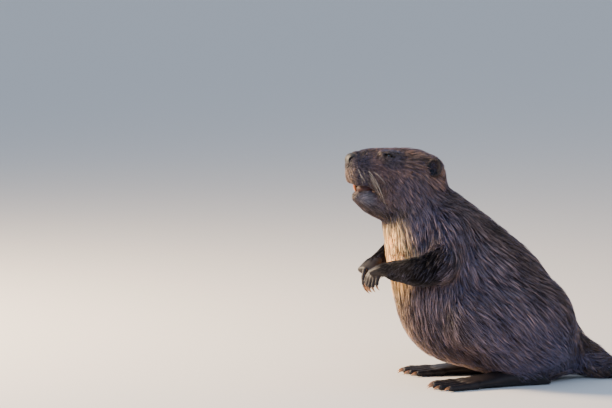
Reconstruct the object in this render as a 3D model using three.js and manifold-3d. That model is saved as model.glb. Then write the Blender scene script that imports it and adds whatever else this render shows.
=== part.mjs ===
// A life-size Eurasian beaver sitting up on its haunches, its hands held together before its chest, its
// head raised and its lips a little parted. Millimetres, +Z up. It faces -X, its left side is -Y, the floor
// it sits on is z = 0, and the origin lies on the flat under its rump.
//
// The flesh is one smooth form: sweeps, each an elliptical section carried along a spine, and blobs, all
// merged where they touch. That form is meshed once for the body and once, finer, for the head, and is then
// parted into nodes with thin cuts. Hands, claws and the tail are lofted from sweeps of their own. The
// surface is the outer surface of the coat, out to the tips of the hair.
import * as THREE from "three";
import { mergeVertices } from "three/addons/utils/BufferGeometryUtils.js";
import Module from "manifold-3d";

const wasm = await Module();
wasm.setup();

// ---- Driving dimensions ----------------------------------------------------------------------------------

const GAP = 0.6; // width of the thin cuts between nodes
const CLAW_STAND_OFF = 1.6; // from the middle of a digit's tip to the root of its claw
const BODY_CELL = 28; // mesh size of the body form
const HEAD_CELL = 12.5; // mesh size of the head form
const ARM_CELL = 17; // mesh size of each foreleg
const EYE = { x: -243, y: 31.5, z: 397, r: 6 };
const EAR = { x: -168, y: 56, z: 378, width: 27, height: 33, thick: 9, turn: 56, lean: 10 };
const NOSE = { x: -301.5, z: 389, length: 12, width: 17, height: 13 };
const NOSTRIL = { x: -303, y: 15.5, z: 391, length: 7, width: 4.5, height: 5 };
// Incisor pairs: the centre and radius of each one's curve, and the angles that it runs between, in degrees.
const UPPER_TEETH = { x: -283, z: 344, radius: 16, from: 140, to: 215, bite: 6 };
const LOWER_TEETH = { x: -275, z: 330, radius: 17, from: 205, to: 139, bite: 6 };
const TOOTH = { thick: 3.6, width: 10 };
// Digits are listed from the innermost to the outermost; pitch is the step from one to the next.
const FINGER = { lengths: [20, 26, 29, 28, 24], root: 4, tip: 3.3, pitch: 7.4, claw: 11, fan: 0.07 };
const TOE = { lengths: [40, 50, 58, 57, 48], root: 17, tip: 10, pitch: 15.5, claw: 17, fan: 0.13 };
const WEB = { height: 5, dip: 0.7 }; // dip is how far along the toes the skin between them ends

// Stations run along each spine: x, y, z, then the section's half-width, its reach above and its reach below.
const TORSO = [
  [30, 0, 60, 95, 70, 60], // pelvis
  [-12, 0, 98, 128, 94, 108], // hips
  [-58, 0, 150, 134, 106, 144], // loins
  [-103, 0, 205, 116, 95, 140], // ribs
  [-143, 0, 260, 93, 77, 112], // shoulders
  [-174, 0, 308, 75, 57, 87], // root of the neck
  [-196, 0, 342, 63, 42, 56], // nape
];
const SKULL = [
  [-166, 0, 348, 57, 48, 48], // occiput
  [-195, 0, 355, 60, 53, 60], // crown
  [-235, 0, 364, 51, 48.5, 50], // brow
  [-270, 0, 375, 37, 36.5, 33], // bridge of the nose
  [-294, 0, 379, 28, 27, 26], // muzzle
];
const LOWER_JAW = [
  [-195, 0, 316, 52, 36, 38], // angle of the jaw
  [-235, 0, 311, 44, 34, 33],
  [-268, 0, 317, 31, 21, 23],
  [-291, 0, 326, 20, 12, 12], // chin
];
const MOUTH = [
  [-335, 0, 339, 60, 17, 13], // the opening between the lips
  [-302, 0, 340, 44, 8.5, 8],
  [-284, 0, 342, 38, 3.5, 2.5], // its corners
];
const THIGH = [
  [10, 70, 112, 66, 70, 70], // hip
  [-60, 92, 118, 56, 58, 56],
  [-116, 102, 116, 42, 44, 44], // knee
];
const SHANK = [
  [-112, 103, 108, 40, 38, 38],
  [-62, 98, 64, 32, 32, 32],
  [-18, 88, 32, 24, 24, 26], // heel
];
const TAIL_ROOT = [
  [62, 0, 58, 58, 48, 48],
  [105, 0, 40, 46, 35, 36],
  [140, -2, 26, 37, 24, 25],
  [158, -3, 20, 34, 18, 20],
];
const TAIL_PADDLE = [
  [150, -3, 20, 33, 16, 18],
  [185, -6, 14, 47, 12.5, 14],
  [235, -12, 11, 60, 11, 12],
  [290, -21, 10, 62, 9.5, 11],
  [335, -31, 9, 53, 8, 10],
  [366, -39, 8, 34, 6.5, 9],
  [378, -42, 7.5, 20, 5.5, 8],
];
const LEFT_ARM = {
  upper: [
    [-134, -54, 258, 32, 36, 36],
    [-160, -96, 212, 29, 31, 31], // elbow
  ],
  lower: [
    [-165, -99, 208, 29, 29, 29],
    [-204, -84, 202, 24, 25, 25],
    [-242, -51, 200, 16, 17, 16], // wrist
  ],
  palm: [
    [-239, -54, 200, 15, 13, 13],
    [-256, -39, 202, 18, 10, 11],
    [-266, -29, 197, 19, 8, 9], // knuckles
  ],
  reach: [-0.62, 0.14, -0.78], // the way the fingers set off
  curl: [0.95, 0, -0.3], // the way that their tips bend
  spread: [0.45, -0.88, 0.12], // from the thumb to the little finger
};
const RIGHT_ARM = {
  upper: [
    [-134, 54, 258, 32, 36, 36],
    [-164, 96, 222, 29, 31, 31],
  ],
  lower: [
    [-168, 98, 219, 29, 29, 29],
    [-207, 76, 219, 23, 24, 24],
    [-242, 44, 207, 15, 16, 15],
  ],
  palm: [
    [-239, 47, 208, 14, 12, 12],
    [-258, 31, 204, 18, 10, 11],
    [-271, 21, 195, 19, 8, 9],
  ],
  reach: [-0.36, -0.14, -0.92],
  curl: [0.95, 0, -0.3],
  spread: [0.45, 0.88, 0.12],
};
// The sole, from the heel to the roots of the toes: x, y, half-width and height.
const FOOT = [
  [24, 81, 13, 14],
  [2, 84, 21, 30],
  [-40, 90, 25, 31],
  [-82, 97, 31, 24],
  [-122, 103, 37, 17],
];

// Planes that part the form: a point on each, and its normal, towards the head, the tail's tip or outwards.
const NECK_CUT = { at: [-172, 0, 330], normal: [-0.66, 0, 0.75] };
const CHEST_CUT = { at: [-150, 0, 270], normal: [-0.62, 0, 0.78] };
const WAIST_CUT = { at: [-84, 0, 184], normal: [-0.5, 0, 0.86] };
const JAW_CUT = { at: [-268, 0, 341], normal: [0.1, 0, -0.99] };
const TAIL_CUT = { at: [104, 0, 40], normal: [0.97, 0, -0.24] };
const PADDLE_CUT = { at: [155, -3, 18], normal: [0.995, -0.06, -0.08] };
const SOLE_CUT = { at: [0, 0, 0], normal: [0, 0, 1] };
const THIGH_CUTS = {
  [-1]: { at: [0, -84, 0], normal: [0, -1, 0] },
  [1]: { at: [0, 84, 0], normal: [0, 1, 0] },
};

// ---- Forms: each has distance(x, y, z), under 0 inside ---------------------------------------------------

const lerp = THREE.MathUtils.lerp;
const radians = THREE.MathUtils.degToRad;
const vec = (a) => new THREE.Vector3(...a);
const smoothMin = (a, b, soft) => {
  const h = Math.max(soft - Math.abs(a - b), 0) / soft;
  return Math.min(a, b) - (h * h * soft) / 4;
};

// Signed distance from a section's surface for an offset given in the section's own axes.
function sectionDistance(offset, radii) {
  const near = Math.hypot(...offset.map((v, i) => v / radii[i]));
  if (near < 1e-6) return -Math.min(...radii);
  return (near * (near - 1)) / Math.hypot(...offset.map((v, i) => v / radii[i] ** 2));
}

class Blob {
  constructor(centre, radii) {
    Object.assign(this, { centre, radii });
    this.lo = centre.map((c, i) => c - radii[i]);
    this.hi = centre.map((c, i) => c + radii[i]);
  }
  distance(x, y, z) {
    return sectionDistance([x - this.centre[0], y - this.centre[1], z - this.centre[2]], this.radii);
  }
}

class Sweep {
  constructor(stations, caps, { above = [0, 0, 1], steps = 6 } = {}) {
    const path = new THREE.CatmullRomCurve3(stations.map((s) => new THREE.Vector3(...s.slice(0, 3))));
    const sizes = new THREE.CatmullRomCurve3(stations.map((s) => new THREE.Vector3(...s.slice(3))));
    const count = (stations.length - 1) * steps;
    this.caps = caps;
    this.spine = Array.from({ length: count + 1 }, (_, i) => {
      const t = i / count;
      const along = path.getTangent(t);
      const side = new THREE.Vector3().crossVectors(along, new THREE.Vector3(...above)).normalize();
      const up = new THREE.Vector3().crossVectors(side, along);
      return { at: path.getPoint(t), along, side, up, size: sizes.getPoint(t) };
    });
    const reach = Math.max(...this.spine.map((s) => Math.max(s.size.x, s.size.y, s.size.z)), ...caps);
    const axes = ["x", "y", "z"];
    this.lo = axes.map((a) => Math.min(...this.spine.map((s) => s.at[a])) - reach);
    this.hi = axes.map((a) => Math.max(...this.spine.map((s) => s.at[a])) + reach);
  }
  distance(x, y, z) {
    let best = Infinity;
    let index = 0;
    let share = 0;
    for (let i = 0; i + 1 < this.spine.length; i++) {
      const a = this.spine[i].at;
      const b = this.spine[i + 1].at;
      const [dx, dy, dz] = [b.x - a.x, b.y - a.y, b.z - a.z];
      const dot = (x - a.x) * dx + (y - a.y) * dy + (z - a.z) * dz;
      const t = Math.min(1, Math.max(0, dot / (dx * dx + dy * dy + dz * dz)));
      const far = (x - a.x - dx * t) ** 2 + (y - a.y - dy * t) ** 2 + (z - a.z - dz * t) ** 2;
      if (far < best) [best, index, share] = [far, i, t];
    }
    const [a, b] = [this.spine[index], this.spine[index + 1]];
    const mix = (get) => lerp(get(a), get(b), share);
    const rel = [x - mix((s) => s.at.x), y - mix((s) => s.at.y), z - mix((s) => s.at.z)];
    const on = (axis) =>
      rel[0] * mix((s) => s[axis].x) + rel[1] * mix((s) => s[axis].y) + rel[2] * mix((s) => s[axis].z);
    const [side, up, along] = [on("side"), on("up"), on("along")];
    const radii = [mix((s) => s.size.x), mix((s) => (up > 0 ? s.size.y : s.size.z))];
    const first = index === 0 && share === 0;
    const last = index === this.spine.length - 2 && share === 1;
    radii.push(first ? this.caps[0] : last ? this.caps[1] : Math.min(...radii));
    return sectionDistance([side, up, along], radii);
  }
  // The sweep's own surface, as rings with rounded ends.
  geometry(sides, every = 2, capRings = 2) {
    const rings = [];
    const end = (station, cap, sign) =>
      Array.from({ length: capRings }, (_, i) => {
        const angle = ((i + 1) / (capRings + 1)) * (Math.PI / 2);
        return { station, grow: Math.cos(angle), shift: sign * cap * Math.sin(angle) };
      });
    const [first, last] = [this.spine[0], this.spine.at(-1)];
    rings.push(...end(first, this.caps[0], -1).reverse());
    const middle = this.spine.filter((_, i) => i % every === 0 || i === this.spine.length - 1);
    rings.push(...middle.map((station) => ({ station, grow: 1, shift: 0 })));
    rings.push(...end(last, this.caps[1], 1));
    const points = [];
    for (const { station, grow, shift } of rings)
      for (let i = 0; i < sides; i++) {
        const angle = (i / sides) * Math.PI * 2;
        const high = Math.sin(angle) * (Math.sin(angle) > 0 ? station.size.y : station.size.z) * grow;
        const wide = Math.cos(angle) * station.size.x * grow;
        const p = station.at.clone().addScaledVector(station.side, wide);
        points.push(p.addScaledVector(station.up, high).addScaledVector(station.along, shift));
      }
    points.push(first.at.clone().addScaledVector(first.along, -this.caps[0]));
    points.push(last.at.clone().addScaledVector(last.along, this.caps[1]));
    const index = [];
    for (let r = 0; r + 1 < rings.length; r++)
      for (let i = 0; i < sides; i++) {
        const [a, b] = [r * sides + i, r * sides + ((i + 1) % sides)];
        index.push(a, a + sides, b, b, a + sides, b + sides);
      }
    const top = (rings.length - 1) * sides;
    for (let i = 0; i < sides; i++) {
      const j = (i + 1) % sides;
      index.push(points.length - 2, i, j, points.length - 1, top + j, top + i);
    }
    return new THREE.BufferGeometry().setFromPoints(points).setIndex(index);
  }
}

// A form on the animal's right that is also its own mirror image on the left.
const pair = (form) => ({
  lo: [form.lo[0], -form.hi[1], form.lo[2]],
  hi: form.hi,
  distance: (x, y, z) => form.distance(x, Math.abs(y), z),
});

// All the forms merged, each with its own softness.
function merge(parts) {
  return (x, y, z) => {
    let d = Infinity;
    for (const [form, soft] of parts) {
      const p = [x, y, z];
      const away = Math.hypot(...p.map((v, i) => Math.max(form.lo[i] - v, v - form.hi[i], 0)));
      if (away > 90 && away > d + soft) continue;
      const next = form.distance(x, y, z);
      d = d === Infinity ? next : smoothMin(d, next, soft);
    }
    return d;
  };
}

const body = merge([
  [new Sweep(TORSO, [60, 40]), 30],
  [new Blob([4, 0, 88], [90, 122, 92]), 30], // rump
  [new Blob([-108, 0, 120], [96, 112, 78]), 34], // belly
  [pair(new Sweep(THIGH, [66, 40])), 26],
  [pair(new Sweep(SHANK, [34, 22])), 18],
  [pair(new Blob([-136, 56, 258], [44, 42, 50])), 24], // shoulder
  [new Sweep(TAIL_ROOT, [30, 18]), 30],
  [new Sweep(SKULL, [28, 20]), 24],
  [new Sweep(LOWER_JAW, [34, 11]), 12],
]);

const flesh = merge([
  [{ distance: body, lo: Array(3).fill(-Infinity), hi: Array(3).fill(Infinity) }, 1],
  [pair(new Blob([-216, 37, 338], [42, 25, 36])), 16], // cheek
  [pair(new Blob([-289, 14, 361], [22, 16, 17])), 8], // upper lip
  [pair(new Blob([-247, 31, 401], [22, 8, 6])), 10], // brow ridge
]);

// The open mouth, a wedge that narrows to its corners.
const mouth = new Sweep(MOUTH, [20, 4]);

// How far a point lies beyond a plane, along its normal.
function past({ at, normal }, x, y, z) {
  const n = new THREE.Vector3(...normal).normalize();
  return n.dot(new THREE.Vector3(x - at[0], y - at[1], z - at[2]));
}
const OVERRUN = 25; // each form is meshed this far past the cut between them
const headForm = (x, y, z) =>
  Math.max(flesh(x, y, z), -mouth.distance(x, y, z), -past(NECK_CUT, x, y, z) - OVERRUN);
const bodyForm = (x, y, z) => Math.max(body(x, y, z), past(NECK_CUT, x, y, z) - OVERRUN);
const armForm = ({ upper, lower }) =>
  merge([
    [new Sweep(upper, [30, 24]), 20],
    [new Sweep(lower, [24, 10]), 20],
  ]);

// ---- Meshing and solids --------------------------------------------------------------------------------

// The surface where distance is 0, as a closed net of quads, each of its corners drawn onto that surface.
function netOf(distance, lo, hi, cell) {
  const n = lo.map((v, i) => Math.ceil((hi[i] - v) / cell) + 1);
  const at = (i, j, k) => (k * n[1] + j) * n[0] + i;
  const place = (i, j, k) => [lo[0] + i * cell, lo[1] + j * cell, lo[2] + k * cell];
  const value = new Float32Array(n[0] * n[1] * n[2]);
  for (let k = 0; k < n[2]; k++)
    for (let j = 0; j < n[1]; j++)
      for (let i = 0; i < n[0]; i++) value[at(i, j, k)] = distance(...place(i, j, k));
  const corner = new Int32Array(value.length).fill(-1);
  const points = [];
  const edges = [0, 1, 2, 3, 4, 5, 6, 7].flatMap((a) =>
    [1, 2, 4].filter((bit) => !(a & bit)).map((bit) => [a, a | bit]),
  );
  for (let k = 0; k + 1 < n[2]; k++)
    for (let j = 0; j + 1 < n[1]; j++)
      for (let i = 0; i + 1 < n[0]; i++) {
        const v = (c) => value[at(i + (c & 1), j + ((c >> 1) & 1), k + ((c >> 2) & 1))];
        const crossed = edges.filter(([a, b]) => v(a) < 0 !== v(b) < 0);
        if (!crossed.length) continue;
        const sum = [0, 0, 0];
        for (const [a, b] of crossed) {
          const t = v(a) / (v(a) - v(b));
          for (let x = 0; x < 3; x++) sum[x] += lerp((a >> x) & 1, (b >> x) & 1, t);
        }
        corner[at(i, j, k)] = points.length;
        points.push(place(...[i, j, k].map((c, x) => c + sum[x] / crossed.length)));
      }
  for (const p of points) settle(p, distance, cell);
  const index = [];
  const step = [1, n[0], n[0] * n[1]];
  for (let k = 1; k + 1 < n[2]; k++)
    for (let j = 1; j + 1 < n[1]; j++)
      for (let i = 1; i + 1 < n[0]; i++)
        for (let axis = 0; axis < 3; axis++) {
          const here = at(i, j, k);
          const inside = value[here] < 0;
          if (inside === value[here + step[axis]] < 0) continue;
          const [u, v] = [step[(axis + 1) % 3], step[(axis + 2) % 3]];
          const quad = [here - u - v, here - v, here, here - u].map((c) => corner[c]);
          if (!inside) quad.reverse();
          const [a, b, c, d] = quad.map((q) => new THREE.Vector3(...points[q]));
          const [p, q, r, s] = a.distanceTo(c) < b.distanceTo(d) ? quad : [...quad.slice(1), quad[0]];
          index.push(p, q, r, p, r, s);
        }
  return new THREE.BufferGeometry()
    .setFromPoints(points.map((p) => new THREE.Vector3(...p)))
    .setIndex(index);
}

// Moves a point onto the surface where distance is 0, by at most a third of a cell a time.
function settle(p, distance, cell) {
  const h = 0.5;
  for (let round = 0; round < 2; round++) {
    const slope = [0, 1, 2].map((axis) => {
      const q = p.map((v, i) => v + (i === axis ? h : 0));
      const r = p.map((v, i) => v - (i === axis ? h : 0));
      return (distance(...q) - distance(...r)) / (2 * h);
    });
    const steep = slope.reduce((sum, s) => sum + s * s, 1e-6);
    const move = THREE.MathUtils.clamp(distance(...p) / steep, -cell / 3, cell / 3);
    slope.forEach((s, i) => (p[i] -= s * move));
  }
}

function solid(geometry) {
  const bare = geometry.clone();
  for (const name of ["normal", "uv"]) bare.deleteAttribute(name);
  const merged = mergeVertices(bare, 1e-4);
  return new wasm.Manifold(
    new wasm.Mesh({
      numProp: 3,
      vertProperties: new Float32Array(merged.attributes.position.array),
      triVerts: new Uint32Array(merged.index.array),
    }),
  );
}

// The same mesh with each of its corners moved outwards.
function swollen(geometry, by = GAP) {
  const bigger = geometry.clone();
  bigger.computeVertexNormals();
  const { position, normal } = bigger.attributes;
  for (let i = 0; i < position.array.length; i++) position.array[i] += normal.array[i] * by;
  return bigger;
}

const union = (solids) => solids.reduce((a, b) => a.add(b));
const lofted = (stations, caps, { sides = 10, every = 3, capRings = 1, above } = {}) =>
  solid(new Sweep(stations, caps, { above }).geometry(sides, every, capRings));
const grown = (stations, by = GAP) => stations.map((s) => s.map((v, i) => (i < 3 ? v : v + by)));

// The side of a plane that its normal points to, or the side behind it, less half of the thin cut.
function beyond(made, { at, normal }, gap = GAP) {
  const n = new THREE.Vector3(...normal).normalize();
  return made.trimByPlane(n.toArray(), n.dot(new THREE.Vector3(...at)) + gap / 2);
}
const behind = (made, plane, gap = GAP) =>
  beyond(made, { at: plane.at, normal: plane.normal.map((v) => -v) }, gap);
const onFloor = (made) => beyond(made, SOLE_CUT, 0);

function ellipsoid(centre, radii, wide = 16, high = 10) {
  const geometry = new THREE.SphereGeometry(1, wide, high).scale(...radii).translate(...centre);
  return solid(geometry);
}

// ---- Teeth and ears --------------------------------------------------------------------------------

// A pair of incisors side by side: a slice of a ring, with a chisel's edge.
function incisors({ x, z, radius, from, to, bite }, grow = 0) {
  const { thick, width } = TOOTH;
  const way = Math.sign(to - from);
  const [start, tip, heel] = [from - way * grow * 5, to + way * grow * 5, to - way * bite];
  const shape = new THREE.Shape();
  shape.absarc(x, z, radius + grow, radians(start), radians(tip), way < 0);
  shape.absarc(x, z, radius - thick - grow, radians(heel), radians(start), way > 0);
  shape.closePath();
  const depth = width + 2 * grow;
  const geometry = new THREE.ExtrudeGeometry(shape, { depth, bevelEnabled: false, curveSegments: 4 });
  return solid(geometry.rotateX(Math.PI / 2).translate(0, depth / 2, 0));
}

// A rounded ear flap, hollowed on the side that faces forwards and out.
function ear(side, grow = 0) {
  const { x, y, z, width, height, thick, turn, lean } = EAR;
  const placed = (geometry) =>
    solid(geometry.rotateY(radians(lean)).rotateZ(radians(-side * turn)).translate(x, side * y, z));
  const shell = new THREE.SphereGeometry(1, 12, 6);
  shell.scale(thick / 2 + grow, width / 2 + grow, height / 2 + grow);
  if (grow) return placed(shell);
  const hollow = new THREE.SphereGeometry(1, 8, 4).scale(thick / 2, width / 2 - 3.5, height / 2 - 4);
  return placed(shell).subtract(placed(hollow.translate(-thick * 0.4, 0, 1.5)));
}

// ---- Hands, feet and claws -------------------------------------------------------------------------------

const digits = (lengths) => lengths.map((length, i) => ({ length, step: i - (lengths.length - 1) / 2 }));

// A claw stands off its digit's blunt tip, then curves downwards to a point.
function claw(tip, heading, down, size, length) {
  const at = (t) => {
    const p = tip.clone().addScaledVector(heading, CLAW_STAND_OFF + length * t * (1 - 0.25 * t));
    return p.addScaledVector(down, length * 0.5 * t * t);
  };
  const stations = [0, 0.5, 1].map((t) => {
    const radius = lerp(size, 0.7, t ** 1.3);
    return [...at(t), radius * 0.8, radius, radius];
  });
  return lofted(stations, [0.3, 0.6], { sides: 4, every: 6, capRings: 0, above: down.toArray() });
}

// Fingers bend as they go: each sets off along reach and its tip turns towards curl.
function handOf({ palm, reach, curl, spread }) {
  const [way, bend, across] = [reach, curl, spread].map((v) => vec(v).normalize());
  const knuckle = vec(palm.at(-1).slice(0, 3));
  const palmOf = (grow) => lofted(grown(palm, grow), [8 + grow, 6 + grow], { sides: 10, every: 6 });
  const fingers = [];
  const claws = [];
  for (const { length, step } of digits(FINGER.lengths)) {
    const root = knuckle.clone().addScaledVector(across, step * FINGER.pitch);
    const out = way.clone().addScaledVector(across, step * FINGER.fan).normalize();
    const at = (t) =>
      root.clone().addScaledVector(out, length * t).addScaledVector(bend, length * 0.3 * t * t);
    const stations = [-0.12, 0.5, 1].map((t) => {
      const radius = lerp(FINGER.root, FINGER.tip, t);
      return [...at(t), radius, radius, radius];
    });
    fingers.push(lofted(stations, [3, 0.5], { sides: 6, every: 6, capRings: 0, above: curl }));
    const heading = out.clone().addScaledVector(bend, 0.6).normalize();
    claws.push(claw(at(1), heading, bend, FINGER.tip * 0.7, FINGER.claw));
  }
  return { made: union([palmOf(0), ...fingers]), bed: palmOf(GAP), claws };
}

// Lengthwise lines over a foot: two to a toe, at its edges, and one down the skin between each two toes.
const LINES = digits(TOE.lengths).flatMap(({ length, step }, i) => {
  const toe = [-0.36, 0.36].map((edge) => ({ place: step + edge, step, length }));
  const next = TOE.lengths[i + 1];
  if (!next) return toe;
  const middle = step + 0.5;
  return [...toe, { place: middle, step: middle, length: WEB.dip * Math.min(length, next), web: true }];
});
const EDGE = LINES.at(-1).place;

// A webbed foot, flat on the floor; its outline is grown where it makes room for itself in the trunk.
function footOf(side, grow = 0) {
  const [before, root] = FOOT.slice(-2).map(([x, y]) => new THREE.Vector3(x, y, 0));
  const way = root.clone().sub(before).normalize();
  const turned = (angle) => way.clone().applyAxisAngle(new THREE.Vector3(0, 0, 1), -angle);
  const across = turned(Math.PI / 2);
  const sole = FOOT.map(([x, y, wide, high], i) =>
    LINES.map(({ place }) => {
      const share = place / EDGE;
      const back = i === 0 ? grow : 0;
      const p = new THREE.Vector3(x + back, y, (high + grow) * (1 - 0.5 * share * share));
      return p.addScaledVector(across, share * (wide + grow));
    }),
  );
  const toes = [0.3, 0.65, 1].map((t) =>
    LINES.map(({ place, step, length, web }) => {
      const p = root.clone().addScaledVector(across, place * TOE.pitch);
      p.addScaledVector(turned(step * TOE.fan), length * t);
      const high = web ? lerp(TOE.root * 0.7, WEB.height, Math.sqrt(t)) : lerp(TOE.root * 0.8, TOE.tip, t);
      return p.setZ(high + grow);
    }),
  );
  const rows = [...sole, ...toes];
  if (side < 0) for (const row of rows) row.reverse().forEach((p) => (p.y *= -1));
  const claws = digits(TOE.lengths).map(({ length, step }) => {
    const heading = turned(step * TOE.fan);
    const tip = root.clone().addScaledVector(across, step * TOE.pitch).addScaledVector(heading, length);
    for (const v of [tip, heading]) v.y *= side;
    return claw(tip.setZ(TOE.tip * 0.62), heading, new THREE.Vector3(0, 0, -0.5), TOE.tip * 0.3, TOE.claw);
  });
  return { made: slabOf(rows), claws };
}

// A slab on the floor whose top is a grid of points and whose edges fall straight down.
function slabOf(rows) {
  const wide = rows[0].length;
  const points = rows.flat().flatMap((p) => [p, p.clone().setZ(0)]);
  const at = (row, line, low = 0) => (row * wide + line) * 2 + low;
  const index = [];
  const quad = (a, b, c, d) => index.push(a, b, c, a, c, d);
  for (let r = 0; r + 1 < rows.length; r++) {
    for (let c = 0; c + 1 < wide; c++) {
      quad(at(r, c), at(r, c + 1), at(r + 1, c + 1), at(r + 1, c));
      quad(at(r, c, 1), at(r + 1, c, 1), at(r + 1, c + 1, 1), at(r, c + 1, 1));
    }
    quad(at(r, 0), at(r + 1, 0), at(r + 1, 0, 1), at(r, 0, 1));
    quad(at(r, wide - 1), at(r, wide - 1, 1), at(r + 1, wide - 1, 1), at(r + 1, wide - 1));
  }
  for (let c = 0; c + 1 < wide; c++) {
    const last = rows.length - 1;
    quad(at(0, c), at(0, c, 1), at(0, c + 1, 1), at(0, c + 1));
    quad(at(last, c), at(last, c + 1), at(last, c + 1, 1), at(last, c, 1));
  }
  return solid(new THREE.BufferGeometry().setFromPoints(points).setIndex(index));
}

// ---- Assembly: forelegs are cut back to fit the trunk, and the trunk to fit hands and feet --------------

const LEFT = -1;
const RIGHT = 1;
const sideName = (side) => (side === LEFT ? "left" : "right");
const fur = { color: 0x6b4a33, roughness: 0.85, metalness: 0 };
const skin = { color: 0x3a2f2b, roughness: 0.6, metalness: 0 };
const scales = { color: 0x453a35, roughness: 0.55, metalness: 0 };
const horn = { color: 0x2a2220, roughness: 0.4, metalness: 0 };
const eyeball = { color: 0x0c0807, roughness: 0.05, metalness: 0 };
const enamel = { color: 0xc8691c, roughness: 0.35, metalness: 0 };

const group = new THREE.Group();
function put(name, made, finish) {
  const { vertProperties, triVerts } = made.getMesh();
  const geometry = new THREE.BufferGeometry();
  geometry.setAttribute("position", new THREE.BufferAttribute(vertProperties, 3));
  geometry.setIndex(new THREE.BufferAttribute(triVerts, 1)).computeVertexNormals();
  const mesh = new THREE.Mesh(geometry, new THREE.MeshStandardMaterial(finish));
  mesh.name = name;
  group.add(mesh);
}

// Adds one side's foreleg, hand, foot and claws, and gives back the body with room made for hand and foot.
function addLimbs(bodySolid, bodyRoom, side) {
  const arm = side === LEFT ? LEFT_ARM : RIGHT_ARM;
  const [low, high] = [[-300, side * 80 - 90, 140], [-90, side * 80 + 90, 330]];
  const foreleg = netOf(armForm(arm), low, high, ARM_CELL);
  const hand = handOf(arm);
  const foot = footOf(side);
  put(`foreleg_${sideName(side)}`, solid(foreleg).subtract(hand.bed).subtract(bodyRoom), fur);
  put(`hand_${sideName(side)}`, hand.made, skin);
  put(`foot_${sideName(side)}`, foot.made, skin);
  hand.claws.forEach((made, i) => put(`claw_hand_${sideName(side)}_${i + 1}`, made, horn));
  foot.claws.forEach((made, i) => put(`claw_foot_${sideName(side)}_${i + 1}`, made, horn));
  return bodySolid.subtract(hand.bed).subtract(footOf(side, GAP).made);
}

function addTrunk(bodySolid) {
  const trunk = behind(behind(bodySolid, CHEST_CUT), TAIL_CUT);
  let rump = behind(trunk, WAIST_CUT);
  for (const side of [LEFT, RIGHT]) {
    put(`thigh_${sideName(side)}`, beyond(rump, THIGH_CUTS[side]), fur);
    rump = behind(rump, THIGH_CUTS[side]);
  }
  put("rump", rump, fur);
  put("chest", beyond(trunk, WAIST_CUT), fur);
  put("neck", beyond(behind(bodySolid, NECK_CUT), CHEST_CUT), fur);
}

function addTail(bodySolid) {
  put("tail_root", behind(beyond(bodySolid, TAIL_CUT), PADDLE_CUT), fur);
  const paddle = onFloor(lofted(TAIL_PADDLE, [12, 9], { sides: 14, every: 6, capRings: 1 }));
  put("tail", beyond(paddle, PADDLE_CUT), scales);
}

function eye(side, grow = 0) {
  return ellipsoid([EYE.x, side * EYE.y, EYE.z], Array(3).fill(EYE.r + grow), 8, 5);
}

function nosePad(grow) {
  const radii = [NOSE.length, NOSE.width, NOSE.height].map((v) => v + grow);
  const pad = ellipsoid([NOSE.x, 0, NOSE.z], radii, 10, 6);
  if (grow) return pad;
  const { x, y, z, length, width, height } = NOSTRIL;
  const nostrils = [LEFT, RIGHT].map((side) => ellipsoid([x, side * y, z], [length, width, height], 6, 4));
  return pad.subtract(union(nostrils));
}

function addHead() {
  let head = beyond(solid(netOf(headForm, [-340, -100, 220], [-60, 100, 440], HEAD_CELL)), NECK_CUT);
  head = head.subtract(nosePad(GAP));
  for (const teeth of [UPPER_TEETH, LOWER_TEETH]) head = head.subtract(incisors(teeth, GAP));
  for (const side of [LEFT, RIGHT]) {
    head = head.subtract(eye(side, GAP)).subtract(ear(side, GAP));
    put(`eye_${sideName(side)}`, eye(side), eyeball);
    put(`ear_${sideName(side)}`, ear(side), skin);
  }
  put("nose", nosePad(0), skin);
  put("incisors_upper", incisors(UPPER_TEETH), enamel);
  put("incisors_lower", incisors(LOWER_TEETH), enamel);
  put("head", behind(head, JAW_CUT), fur);
  put("jaw", beyond(head, JAW_CUT), fur);
}

const bodyNet = netOf(bodyForm, [-340, -190, -60], [200, 190, 440], BODY_CELL);
let bodySolid = onFloor(solid(bodyNet));
for (const side of [LEFT, RIGHT]) bodySolid = addLimbs(bodySolid, solid(swollen(bodyNet)), side);
addTrunk(bodySolid);
addTail(bodySolid);
addHead();

export default group;
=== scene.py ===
"""A life-size Eurasian beaver sitting up on its haunches: skin, coat, eyes, teeth, claws and scaly tail.

The skin is one smooth form, merged from sweeps and blobs that repeat the part's own, drawn in by the
coat's depth. The coat is made of solid tufts that start on the skin, follow the lie of the hair and end at
the part's outer surface. The tables are in millimetres, like the part's, and all that is made is in metres.
"""
import math
from concurrent.futures import ThreadPoolExecutor

import bpy
import numpy as np
from mathutils import Matrix, Vector
from mathutils.bvhtree import BVHTree
from mathutils.kdtree import KDTree


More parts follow.
